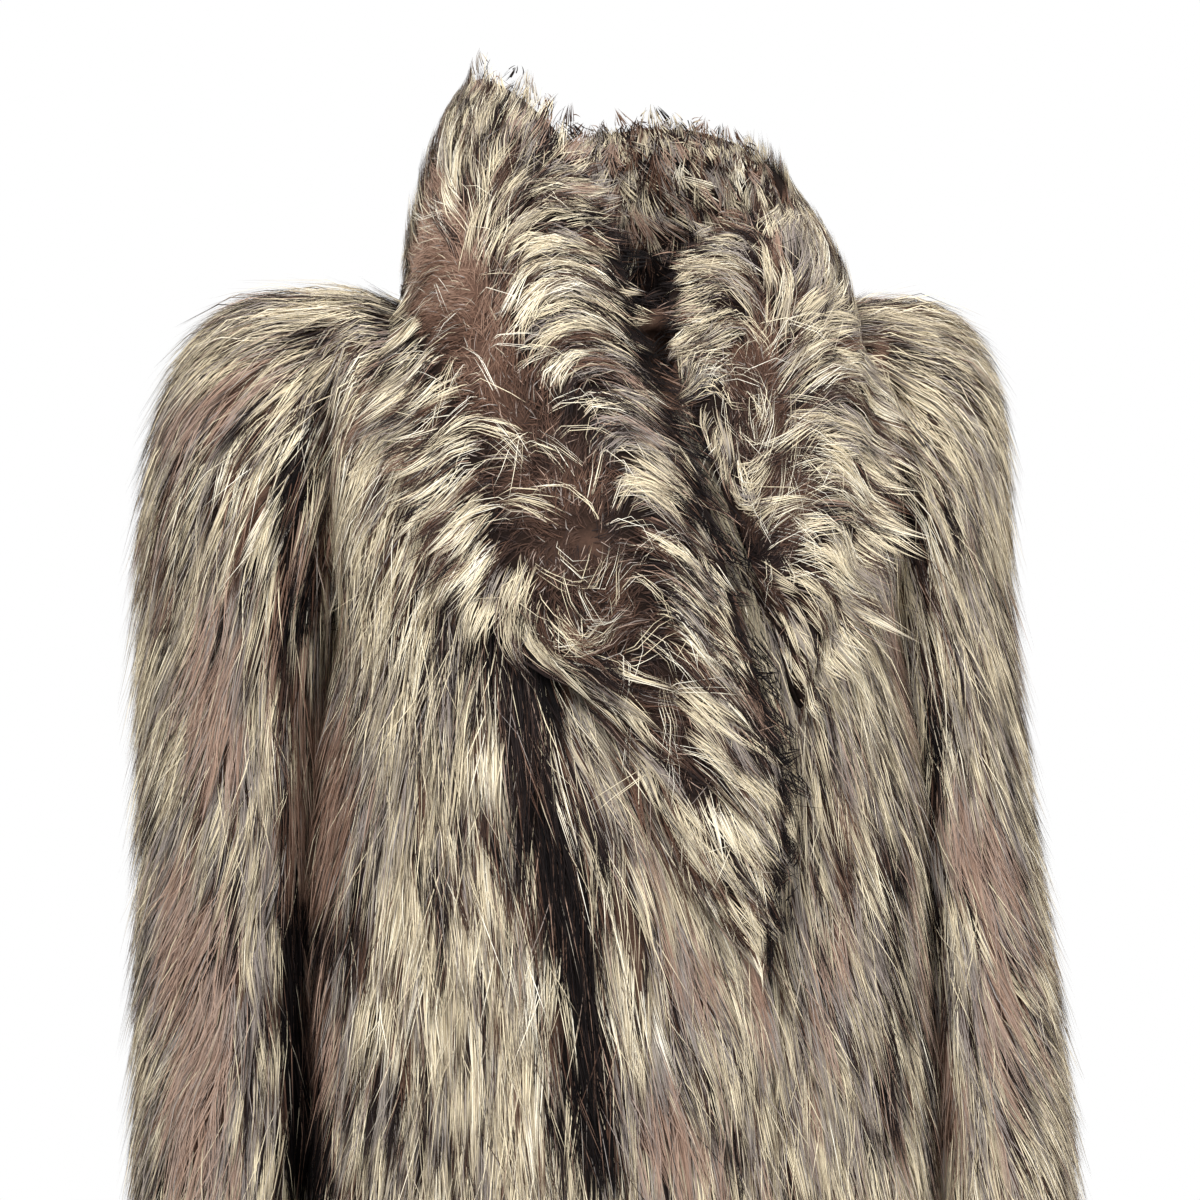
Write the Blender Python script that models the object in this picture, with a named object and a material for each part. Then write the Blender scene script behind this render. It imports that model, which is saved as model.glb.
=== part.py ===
"""A woman's long-haired fur coat with a standing shawl collar, wide shoulders and set-in sleeves.

Metres, Z up. The wearer faces -Y and the wearer's left is +X. The origin is the middle of the neck opening at the
height of the shoulders. Each wall runs from the leather side to the tips of the fur.
"""

import bpy
import numpy as np
from mathutils import Vector
from mathutils.bvhtree import BVHTree

COAT = "fur_coat"

# Walls
FUR_WALL = 0.028  # leather and full fur
THIN_WALL = 0.0070  # leather and fur pressed flat under another layer
LEAST_WALL = 0.0014  # at the bottom of a crease
WALL_SLOPE = 0.75  # how fast the fur rises beside a pressed place
EASE_ROUNDS = 12
SEAM_HALF_GAP = 0.0003
LAP_RISE = 0.0120  # the lapping front lies this far over the line of the other
LAP_BLEND = 0.045  # its leather comes down to its own line over this width
LAP_WIDTH = 0.020  # the raised part reaches this far past the other front's edge
LAP_EDGE = 0.005
LAP_START = 0.020  # the lap rises to its full height over this much crossing
FRINGE_HEM = 0.020  # fur past the leather at the hem and the cuffs
FRINGE_EDGE = 0.012  # fur past the leather at the front edge
FRINGE_START = 0.050  # that fringe is whole where the fronts cross by this much
FRINGE_CLEAR = 0.003
PELT_RELIEF = 0.004  # how far the middle of a pelt stands over its sides
PELT_WIDTH = 0.155
RELIEF_FROM_SEAM = 0.060  # a pelt has its whole relief this far from a seam
RELIEF_WALLS = (0.018, 0.028)  # thinner walls have no relief, thicker ones all of it

# Grid of every panel
ACROSS = 18  # columns of a front, and of each half of the back
BELOW = 18  # rows from the hem to the underarm
ABOVE = 12  # rows from the underarm to the shoulder seam
SLEEVE_HEAD_RINGS = 9
SLEEVE_TUBE_RINGS = 12
COLLAR_SECTIONS = 30
COLLAR_AROUND = 18
ROOM_USED = 0.93
ROOM_LEFT = 0.0006
CELL_SAMPLES = 3  # along each side of a cell, where the room around it is measured

# One row per section of the front, from the hem up over the shoulder. "inner" and "outer" are how far the row starts
# and ends from the middle of the coat, "middle" and "side" the depths there, "pinch" how far the arm presses the
# side in, "square" the fullness of the curve and "wrap" the part of a quarter turn it takes.
SECTION = ("height", "inner", "outer", "middle", "side", "pinch", "square", "wrap")
FRONT = (
    (-0.930, -0.066, 0.262, -0.196, 0.004, 0.000, 2.2, 1.00),
    (-0.800, -0.066, 0.246, -0.187, -0.006, 0.016, 2.3, 1.00),
    (-0.640, -0.066, 0.228, -0.178, -0.016, 0.052, 2.6, 1.00),
    (-0.480, -0.066, 0.217, -0.170, -0.006, 0.055, 2.8, 1.00),
    (-0.340, -0.066, 0.211, -0.162, 0.004, 0.051, 2.9, 1.00),
    (-0.222, -0.064, 0.191, -0.154, 0.010, 0.025, 2.8, 1.00),
    (-0.180, -0.050, 0.186, -0.148, -0.050, 0.000, 2.6, 0.90),
    (-0.108, -0.012, 0.194, -0.134, -0.072, 0.000, 2.3, 0.72),
    (-0.045, 0.030, 0.200, -0.103, -0.052, 0.000, 2.1, 0.55),
    (-0.012, 0.056, 0.205, -0.062, -0.029, 0.000, 2.0, 0.50),
)
SHOULDER_SEAM = (0.000, 0.072, 0.207, 0.002, 0.002, 0.000, 2.0, 0.50)
BACK = (
    (-0.930, 0.000, 0.262, 0.180, 0.004, 0.000, 2.2, 1.00),
    (-0.800, 0.000, 0.246, 0.166, -0.006, 0.016, 2.3, 1.00),
    (-0.640, 0.000, 0.228, 0.150, -0.016, 0.052, 2.6, 1.00),
    (-0.480, 0.000, 0.217, 0.142, -0.006, 0.055, 2.7, 1.00),
    (-0.340, 0.000, 0.211, 0.136, 0.004, 0.051, 2.7, 1.00),
    (-0.222, 0.000, 0.191, 0.132, 0.010, 0.025, 2.7, 1.00),
    (-0.180, 0.000, 0.186, 0.130, 0.062, 0.000, 2.5, 0.90),
    (-0.108, 0.000, 0.195, 0.120, 0.078, 0.000, 2.3, 0.72),
    (-0.055, 0.000, 0.200, 0.104, 0.063, 0.000, 2.1, 0.55),
    (-0.022, 0.000, 0.204, 0.084, 0.038, 0.000, 2.0, 0.50),
)
# Half of the back neckline, from the centre back to where the shoulder seam starts: out, back and height of each point.
BACK_NECK = (
    (0.000, 0.070, -0.002),
    (0.030, 0.064, -0.001),
    (0.056, 0.042, 0.000),
    (0.072, 0.002, 0.000),
)
PINCH_REACH = 0.064  # how far forward and back of the side an arm presses
PINCH_SIDE = (0.35, 0.85)  # parts of the half width between which the pressing sets in
CURVE_STEPS = 400
UNDERARM = -0.222

# One row per ring of a sleeve, from the upper arm to the cuff. The left arm hangs a little further out than the right.
RING = ("height", "out", "forward", "half_width", "half_depth", "tilt")
SLEEVE_RIGHT = (
    (-0.235, 0.2440, 0.000, 0.0560, 0.072, 0.36),
    (-0.330, 0.2445, -0.004, 0.0560, 0.071, 0.12),
    (-0.430, 0.2465, -0.012, 0.0550, 0.069, 0.02),
    (-0.530, 0.2500, -0.022, 0.0535, 0.067, 0.00),
    (-0.625, 0.2540, -0.034, 0.0520, 0.065, 0.00),
)
SLEEVE_LEFT = (
    (-0.235, 0.2260, 0.000, 0.0510, 0.070, 0.36),
    (-0.330, 0.2350, -0.004, 0.0530, 0.070, 0.12),
    (-0.430, 0.2470, -0.012, 0.0540, 0.069, 0.02),
    (-0.530, 0.2580, -0.022, 0.0535, 0.067, 0.00),
    (-0.625, 0.2670, -0.034, 0.0520, 0.065, 0.00),
)
HEAD_REACH_TOP = (0.245, 0.0, 0.012)
HEAD_REACH_UNDER = (0.020, 0.0, -0.050)
HEAD_REACH_SIDE = 0.035
TUBE_REACH_TOP = 0.300
TUBE_REACH_UNDER = 0.060

# One row per section of a collar half, from the centre back to the lapel point: the roll line, which is the upper or
# inner edge, the outer edge, and the thickness on the outer and the body side.
COLLAR = ("roll_x", "roll_y", "roll_z", "edge_x", "edge_y", "edge_z", "over", "under")
ROLL_PLACE = slice(0, 3)
EDGE_PLACE = slice(3, 6)
COLLAR_RIGHT = (
    (0.000, 0.088, 0.135, 0.000, 0.132, -0.020, 0.030, 0.024),
    (-0.045, 0.082, 0.142, -0.072, 0.127, -0.018, 0.030, 0.024),
    (-0.078, 0.052, 0.155, -0.115, 0.088, -0.010, 0.027, 0.024),
    (-0.085, 0.010, 0.168, -0.130, 0.030, -0.006, 0.025, 0.026),
    (-0.058, -0.040, 0.145, -0.140, -0.030, -0.008, 0.026, 0.026),
    (-0.028, -0.074, 0.103, -0.147, -0.078, -0.022, 0.028, 0.026),
    (-0.008, -0.100, 0.050, -0.146, -0.115, -0.055, 0.030, 0.024),
    (0.003, -0.126, -0.010, -0.140, -0.140, -0.095, 0.030, 0.022),
    (0.020, -0.152, -0.070, -0.126, -0.158, -0.140, 0.030, 0.020),
    (0.040, -0.178, -0.130, -0.110, -0.172, -0.182, 0.028, 0.018),
    (0.056, -0.192, -0.200, -0.074, -0.182, -0.228, 0.026, 0.016),
    (0.076, -0.200, -0.270, -0.024, -0.190, -0.274, 0.024, 0.014),
    (0.086, -0.206, -0.335, 0.008, -0.198, -0.342, 0.020, 0.012),
    (0.074, -0.208, -0.415, 0.054, -0.206, -0.412, 0.009, 0.006),
)
COLLAR_LEFT = (
    (0.000, 0.088, 0.135, 0.000, 0.132, -0.020, 0.030, 0.024),
    (0.045, 0.084, 0.145, 0.072, 0.127, -0.018, 0.030, 0.024),
    (0.092, 0.062, 0.140, 0.120, 0.090, -0.010, 0.027, 0.024),
    (0.124, 0.020, 0.115, 0.144, 0.034, -0.006, 0.025, 0.026),
    (0.126, -0.030, 0.082, 0.160, -0.030, -0.012, 0.026, 0.024),
    (0.094, -0.070, 0.062, 0.166, -0.078, -0.032, 0.030, 0.024),
    (0.052, -0.098, 0.046, 0.164, -0.112, -0.064, 0.032, 0.022),
    (0.026, -0.120, 0.012, 0.158, -0.138, -0.104, 0.032, 0.020),
    (0.028, -0.142, -0.045, 0.146, -0.155, -0.148, 0.031, 0.018),
    (0.044, -0.160, -0.100, 0.134, -0.166, -0.184, 0.029, 0.016),
    (0.062, -0.172, -0.150, 0.122, -0.174, -0.214, 0.026, 0.014),
    (0.080, -0.180, -0.200, 0.110, -0.180, -0.240, 0.020, 0.012),
    (0.092, -0.186, -0.244, 0.100, -0.184, -0.262, 0.010, 0.008),
)
COLLAR_PRESS = 0.0120  # the least room between the leather under the collar and the collar
COLLAR_CLEAR = 0.0020  # the room left over fur that a collar presses
COLLAR_NEAR = 0.080  # leather further off than this isn't under the collar
COLLAR_ABOVE = 0.040  # a collar this far over the leather presses its fur
PRESS_ROUNDS = 12
PRESS_STEP = 0.0012
LIFT_STEP = 0.0004
RING_STEP = 0.02  # about how far one ring or row lies from the next
TURNED = {1: [0, 1, 2, 3], -1: [0, 3, 2, 1]}  # a face seen from its other side, cut along the same diagonal
MEETS = (
    ("front_left", "sleeve_left"),
    ("front_right", "sleeve_right"),
    ("back", "sleeve_left"),
    ("back", "sleeve_right"),
    ("front_left", "front_right"),
)

COLOURS = {
    "front_right": (0.42, 0.35, 0.25),
    "front_left": (0.40, 0.34, 0.26),
    "back": (0.38, 0.31, 0.23),
    "sleeve_right": (0.44, 0.36, 0.26),
    "sleeve_left": (0.40, 0.34, 0.27),
    "collar_right": (0.30, 0.22, 0.16),
    "collar_left": (0.34, 0.27, 0.20),
}
FUR_ROUGHNESS = 0.85


def spline(knots, values, at):
    """A smooth curve through the values at the knots."""
    knots = np.asarray(knots, float)
    values = np.asarray(values, float)
    steps = np.diff(knots)
    shape = (-1,) + (1,) * (values.ndim - 1)
    slopes = np.diff(values, axis=0) / steps.reshape(shape)
    ratio = (steps[1:] / (steps[1:] + steps[:-1])).reshape(shape)
    inside = slopes[:-1] * ratio + slopes[1:] * (1 - ratio)
    tangents = np.concatenate([slopes[:1], inside, slopes[-1:]])
    at = np.clip(at, knots[0], knots[-1])
    low = np.clip(np.searchsorted(knots, at, side="right") - 1, 0, len(knots) - 2)
    step = steps[low].reshape(shape)
    t = ((at - knots[low]) / steps[low]).reshape(shape)
    return (
        (2 * t**3 - 3 * t**2 + 1) * values[low]
        + (t**3 - 2 * t**2 + t) * step * tangents[low]
        + (3 * t**2 - 2 * t**3) * values[low + 1]
        + (t**3 - t**2) * step * tangents[low + 1]
    )


def smoothstep(low, high, x):
    t = np.clip((x - low) / (high - low), 0, 1)
    return t * t * (3 - 2 * t)


def unit(vectors):
    return vectors / np.maximum(np.linalg.norm(vectors, axis=-1, keepdims=True), 1e-12)


def evenly(points, fractions):
    """The points at these fractions of a polyline's length."""
    lengths = np.concatenate([[0], np.cumsum(np.linalg.norm(np.diff(points, axis=0), axis=1))])
    wanted = np.asarray(fractions) * lengths[-1]
    return np.stack([np.interp(wanted, lengths, points[:, axis]) for axis in range(3)], axis=1)


def section_curve(row):
    """Half of one level section, from its inner end round to its side, a rounded corner between them."""
    size = dict(zip(SECTION, row))
    power = 2 / size["square"]
    last = size["wrap"] * np.pi / 2
    whole = size["outer"] / np.sin(last) ** power
    start = np.sign(size["inner"]) * np.arcsin(abs(size["inner"] / whole) ** (1 / power))
    angle = np.linspace(start, last, CURVE_STEPS)
    out = whole * np.sign(np.sin(angle)) * np.abs(np.sin(angle)) ** power
    least = np.cos(last) ** power
    swell = (np.abs(np.cos(angle)) ** power - least) / (1 - least)
    depth = size["side"] + (size["middle"] - size["side"]) * swell
    pressed = size["pinch"] * np.exp(-(((depth - size["side"]) / PINCH_REACH) ** 2))
    out = out - pressed * smoothstep(*PINCH_SIDE, out / size["outer"])
    height = np.full_like(out, size["height"])
    return evenly(np.stack([out, depth, height], axis=1), np.linspace(0, 1, ACROSS + 1))


def columns_through(rows, heights):
    """Smooth columns through a panel's sections: even steps to the underarm, then even steps to the shoulder."""
    gaps = np.linalg.norm(np.diff(rows, axis=0), axis=2)[:, -1]
    knots = np.concatenate([[0], np.cumsum(gaps)])
    underarm = knots[list(heights).index(UNDERARM)]
    at = np.concatenate([
        np.linspace(0, underarm, BELOW, endpoint=False),
        np.linspace(underarm, knots[-1], ABOVE + 1),
    ])
    return spline(knots, rows, at)


def front_half():
    """The leather of one front: rows from the hem up to the shoulder seam, columns from the front edge to the side."""
    rows = [section_curve(row) for row in FRONT + (SHOULDER_SEAM,)]
    return columns_through(np.array(rows), [row[0] for row in FRONT])


def back_half():
    """The leather of half the back: rows from the hem up to the neckline and shoulder, columns from the centre."""
    neck = np.array(BACK_NECK)
    curve = spline(np.arange(len(neck)), neck, np.linspace(0, len(neck) - 1, 60))
    tip = section_curve(SHOULDER_SEAM)[-1]
    top = evenly(np.concatenate([curve, tip[None]]), np.linspace(0, 1, ACROSS + 1))
    rows = [section_curve(row) for row in BACK] + [top]
    return columns_through(np.array(rows), [row[0] for row in BACK])


def sleeve_rings(armhole, shape):
    """The leather of one sleeve: ring by ring from the armhole to the cuff, all rings start at the shoulder."""
    lengths = np.linalg.norm(np.roll(armhole, -1, axis=0) - armhole, axis=1)
    turn = 2 * np.pi * np.concatenate([[0], np.cumsum(lengths)[:-1]]) / lengths.sum()
    table = np.array(shape)
    along = -table[:, 0]
    at = np.linspace(along[0], along[-1], SLEEVE_TUBE_RINGS + 1)
    size = dict(zip(RING, spline(along, table, at).T))
    outward = np.cos(turn)[None, :]
    frontward = -np.sin(turn)[None, :]
    tube = np.stack([
        size["out"][:, None] + size["half_width"][:, None] * outward,
        size["forward"][:, None] + size["half_depth"][:, None] * frontward,
        size["height"][:, None] + (size["tilt"] * size["half_width"])[:, None] * outward,
    ], axis=2)
    upper = ((1 + np.cos(turn)) / 2)[:, None]
    leave = upper * np.array(HEAD_REACH_TOP) + (1 - upper) * np.array(HEAD_REACH_UNDER)
    leave[:, 1] += HEAD_REACH_SIDE * frontward[0]
    arrive = unit(tube[1] - tube[0]) * (upper * TUBE_REACH_TOP + (1 - upper) * TUBE_REACH_UNDER)
    t = np.linspace(0, 1, SLEEVE_HEAD_RINGS + 1)[:-1, None, None]
    head = (
        (2 * t**3 - 3 * t**2 + 1) * armhole
        + (t**3 - 2 * t**2 + t) * leave
        + (3 * t**2 - 2 * t**3) * tube[0]
        + (t**3 - t**2) * arrive
    )
    return np.concatenate([head, tube])


def quads(rows, columns, wrapped=False):
    """The four corners of each cell of a grid numbered row by row."""
    last = columns if wrapped else columns - 1
    row, column = np.meshgrid(np.arange(rows - 1), np.arange(last), indexing="ij")
    beside = (column + 1) % columns
    return np.stack([
        row * columns + column,
        row * columns + beside,
        (row + 1) * columns + beside,
        (row + 1) * columns + column,
    ], axis=-1).reshape(-1, 4)


def shared_normals(grids):
    """Outward normals of grids that share edges, the same on both sides of each shared edge."""
    points = np.concatenate([grid["points"].reshape(-1, 3) for grid in grids])
    faces = []
    first = 0
    for grid in grids:
        rows, columns = grid["points"].shape[:2]
        faces.append(first + quads(rows, columns, grid["wrapped"])[:, :: grid["turn"]])
        first += rows * columns
    faces = np.concatenate(faces)
    _, index = np.unique(np.round(points, 6), axis=0, return_inverse=True)
    index = index.reshape(-1)
    corner = points[faces]
    normal = np.cross(corner[:, 2] - corner[:, 0], corner[:, 3] - corner[:, 1])
    total = np.zeros((index.max() + 1, 3))
    for side in range(4):
        np.add.at(total, index[faces[:, side]], normal)
    return points, unit(total)[index], faces, index


def room_along(points, normals, faces):
    """The radius of the largest ball that touches each point from outside and holds no point of any surface."""
    corner = points[faces]
    inside = (np.arange(CELL_SAMPLES) + 0.5) / CELL_SAMPLES
    a, b = (part.reshape(-1, 1, 1) for part in np.meshgrid(inside, inside))
    cells = (
        corner[:, 0] * (1 - a) * (1 - b) + corner[:, 1] * a * (1 - b)
        + corner[:, 2] * a * b + corner[:, 3] * (1 - a) * b
    )
    others = np.concatenate([points, cells.reshape(-1, 3)])
    room = np.full(len(points), 1.0)
    for i in range(len(points)):
        away = others - points[i]
        forward = away @ normals[i]
        ahead = forward > 2e-4
        if ahead.any():
            room[i] = ((away[ahead] ** 2).sum(axis=1) / (2 * forward[ahead])).min()
    return room


def eased(wall, points, faces, index):
    """Walls lowered so that none stands more than WALL_SLOPE times the distance above its neighbour."""
    low = np.full(index.max() + 1, np.inf)
    np.minimum.at(low, index, wall)
    ends = np.concatenate([faces[:, [0, 1]], faces[:, [1, 2]], faces[:, [2, 3]], faces[:, [3, 0]]])
    reach = WALL_SLOPE * np.linalg.norm(points[ends[:, 0]] - points[ends[:, 1]], axis=1)
    a = index[ends[:, 0]]
    b = index[ends[:, 1]]
    for _ in range(EASE_ROUNDS):
        np.minimum.at(low, a, low[b] + reach)
        np.minimum.at(low, b, low[a] + reach)
    return low[index]


def halved(faces):
    """Each four-cornered face as two triangles, one after the other."""
    return faces[:, [0, 1, 2, 0, 2, 3]].reshape(-1, 3)


def tree_of(points, faces):
    return BVHTree.FromPolygons(points.tolist(), halved(faces).tolist(), all_triangles=True)


def collar_leaf(table):
    """One collar half as closed rings, each a leaf that runs from the roll line to the outer edge and back."""
    size = np.array(table)
    middle = (size[:, ROLL_PLACE] + size[:, EDGE_PLACE]) / 2
    knots = np.concatenate([[0], np.cumsum(np.linalg.norm(np.diff(middle, axis=0), axis=1))])
    size = spline(knots, size, np.linspace(0, knots[-1], COLLAR_SECTIONS + 1))
    thick = dict(zip(COLLAR, size.T))
    roll = size[:, ROLL_PLACE]
    edge = size[:, EDGE_PLACE]
    middle = (roll + edge) / 2
    across = (edge - roll) / 2
    path = np.gradient(middle, axis=0)
    path[0] = (path[0, 0], 0, 0)
    side = np.sign(path[1, 0])
    outward = unit(np.cross(path, across)) * side
    turn = np.linspace(0, 2 * np.pi, COLLAR_AROUND, endpoint=False)
    swell = np.sin(turn)[None, :]
    fullness = swell * np.where(swell > 0, thick["over"][:, None], thick["under"][:, None])
    return (
        middle[:, None, :]
        - across[:, None, :] * np.cos(turn)[None, :, None]
        + outward[:, None, :] * fullness[:, :, None]
    )


def pushed_clear(rings, body, room):
    """Rings moved off the leather under them, so that pressed fur has its room."""
    out = rings.copy()
    for ring in out:
        for point in ring:
            spot, normal, _, distance = body.find_nearest(Vector(point))
            height = (Vector(point) - spot).dot(normal)
            if distance < COLLAR_NEAR and height < room:
                point += np.array(normal) * (room - height)
    return out


def solid(name, points, faces):
    """A named object with its own material from points and faces."""
    mesh = bpy.data.meshes.new(name)
    mesh.from_pydata(points.tolist(), [], [list(face) for face in faces])
    mesh.validate()
    thing = bpy.data.objects.new(name, mesh)
    material = bpy.data.materials.new(name)
    material.use_nodes = True
    shader = material.node_tree.nodes["Principled BSDF"]
    shader.inputs["Base Color"].default_value = (*COLOURS[name], 1)
    shader.inputs["Roughness"].default_value = FUR_ROUGHNESS
    shader.inputs["Metallic"].default_value = 0
    mesh.materials.append(material)
    return thing


def seam_pull(grid, wrapped):
    """How far each point of a panel is drawn back from its seams."""
    out = np.zeros_like(grid)
    out[0] += unit(grid[1] - grid[0]) * SEAM_HALF_GAP
    out[-1] += unit(grid[-2] - grid[-1]) * SEAM_HALF_GAP
    if not wrapped:
        out[:, 0] += unit(grid[:, 1] - grid[:, 0]) * SEAM_HALF_GAP
        out[:, -1] += unit(grid[:, -2] - grid[:, -1]) * SEAM_HALF_GAP
    return out


def lengthwise(points):
    """How far each point of a grid lies from its row's start, along the row."""
    steps = np.linalg.norm(np.diff(points, axis=1), axis=2)
    return np.concatenate([np.zeros((len(points), 1)), np.cumsum(steps, axis=1)], axis=1)


def under_collars(points, normals, wall, collars):
    """Walls kept short of the collars that lie on them."""
    wall = wall.copy()
    for i, (point, normal) in enumerate(zip(points, normals)):
        for tree in collars:
            _, _, _, distance = tree.ray_cast(Vector(point), Vector(normal), COLLAR_ABOVE)
            if distance is not None:
                wall[i] = min(wall[i], max(distance - COLLAR_CLEAR, LEAST_WALL))
    return wall


def outer_of(grid):
    """The fur side of a panel, with its raised pelts and its fringe. The pelts level out towards each seam."""
    shape = grid["wall"].shape
    if grid["wrapped"]:
        fold = np.cos(4 * np.pi * np.arange(shape[1]) / shape[1])[None, :]
        from_seam = np.arange(shape[0])[:, None] * RING_STEP
    else:
        along = lengthwise(grid["inner"])
        if grid["sides"] == 1:
            from_side = along[:, -1:] - along
        else:
            from_side = np.minimum(along, along[:, -1:] - along)
        fold = np.cos(2 * np.pi * from_side / PELT_WIDTH)
        from_top = np.arange(shape[0])[::-1, None] * RING_STEP
        from_seam = np.minimum(from_side, from_top)
    raised = PELT_RELIEF * fold * smoothstep(0, RELIEF_FROM_SEAM, from_seam) * smoothstep(*RELIEF_WALLS, grid["wall"])
    outer = grid["inner"] + grid["normal"] * (grid["wall"] + raised)[..., None]
    outer[grid["hem"], :, 2] -= FRINGE_HEM
    outer[:, 0] += unit(outer[:, 0] - outer[:, 1]) * grid["edge"]
    return outer


def wall_mesh(grid):
    """The closed wall of a panel: the leather's points, then the fur's, and the faces of both and of the rim."""
    pull = seam_pull(grid["inner"], grid["wrapped"])
    inner = grid["inner"] + pull
    outer = outer_of(grid) + pull
    rows, columns = inner.shape[:2]
    count = rows * columns
    number = np.arange(count).reshape(rows, columns)
    if grid["wrapped"]:
        rims = [np.append(number[0], number[0, 0]), np.append(number[-1], number[-1, 0])[::-1]]
    else:
        rims = [np.concatenate([number[0], number[1:, -1], number[-1, -2::-1], number[-2::-1, 0]])]
    faces = [grid["faces"][:, ::-1], grid["faces"] + count]
    for rim in rims:
        a = rim[:-1]
        b = rim[1:]
        rising = np.stack([a, b, b + count, a + count], axis=1)
        falling = np.stack([b, b + count, a + count, a], axis=1)
        height = grid["inner"][..., 2].ravel()
        faces.append(np.where((height[a] < height[b])[:, None], rising, falling)[:, TURNED[grid["turn"]]])
    return np.concatenate([inner.reshape(-1, 3), outer.reshape(-1, 3)]), np.concatenate(faces)


def settled(pieces, collars, body):
    """Presses the fur flatter, step by step, wherever two pieces still meet, and lifts a collar that still touches."""
    for _ in range(PRESS_ROUNDS):
        meshes = {name: wall_mesh(grid) for name, grid in pieces.items()}
        trees = {name: tree_of(*mesh) for name, mesh in meshes.items()}
        met = {name: set() for name in pieces}
        for collar in collars.values():
            touched = set()
            around = tree_of(collar["rings"].reshape(-1, 3), collar["faces"])
            for name, tree in trees.items():
                pairs = tree.overlap(around)
                met[name] |= {pair[0] // 2 for pair in pairs}
                touched |= {pair[1] // 2 for pair in pairs}
            if touched:
                flat = collar["rings"].reshape(-1, 3)
                for spot in np.unique(collar["faces"][sorted(touched)]):
                    _, facing, _, _ = body.find_nearest(Vector(flat[spot]))
                    flat[spot] += np.array(facing) * LIFT_STEP
        for one, other in MEETS:
            pairs = trees[one].overlap(trees[other])
            met[one] |= {pair[0] // 2 for pair in pairs}
            met[other] |= {pair[1] // 2 for pair in pairs}
        for name, found in met.items():
            if found:
                flat = pieces[name]["wall"].reshape(-1)
                spots = np.unique(meshes[name][1][sorted(found)] % len(flat))
                flat[spots] = np.maximum(flat[spots] - PRESS_STEP, LEAST_WALL)
        if not any(met.values()):
            break


def half_coat(front, back, sleeve, side):
    """The front, half back and sleeve of one side, each with its outward directions and the height of its wall."""
    parts = {
        "front": {"points": front, "wrapped": False, "turn": 1},
        "back": {"points": back, "wrapped": False, "turn": -1},
        "sleeve": {"points": sleeve, "wrapped": True, "turn": 1},
    }
    points, normals, faces, index = shared_normals(list(parts.values()))
    normals[np.abs(points[:, 0]) < 1e-6, 0] = 0
    shoulder = (np.abs(points[:, 1] - SHOULDER_SEAM[4]) < 1e-6) & (points[:, 2] > -0.01)
    normals[shoulder, 1] = 0
    normals = unit(normals)
    wall = np.minimum(FUR_WALL, ROOM_USED * room_along(points, normals, faces) - ROOM_LEFT)
    wall = eased(np.maximum(wall, LEAST_WALL), points, faces, index)
    grids = {}
    first = 0
    flip = np.array([side, 1, 1])
    for name, part in parts.items():
        shape = part["points"].shape[:2]
        last = first + shape[0] * shape[1]
        grids[name] = {
            "inner": part["points"] * flip,
            "normal": normals[first:last].reshape(*shape, 3) * flip,
            "wall": wall[first:last].reshape(shape),
            "wrapped": part["wrapped"],
            "turn": side,
            "hem": -1 if part["wrapped"] else 0,
            "sides": 1,
            "edge": 0.0,
        }
        first = last
    return grids


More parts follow.
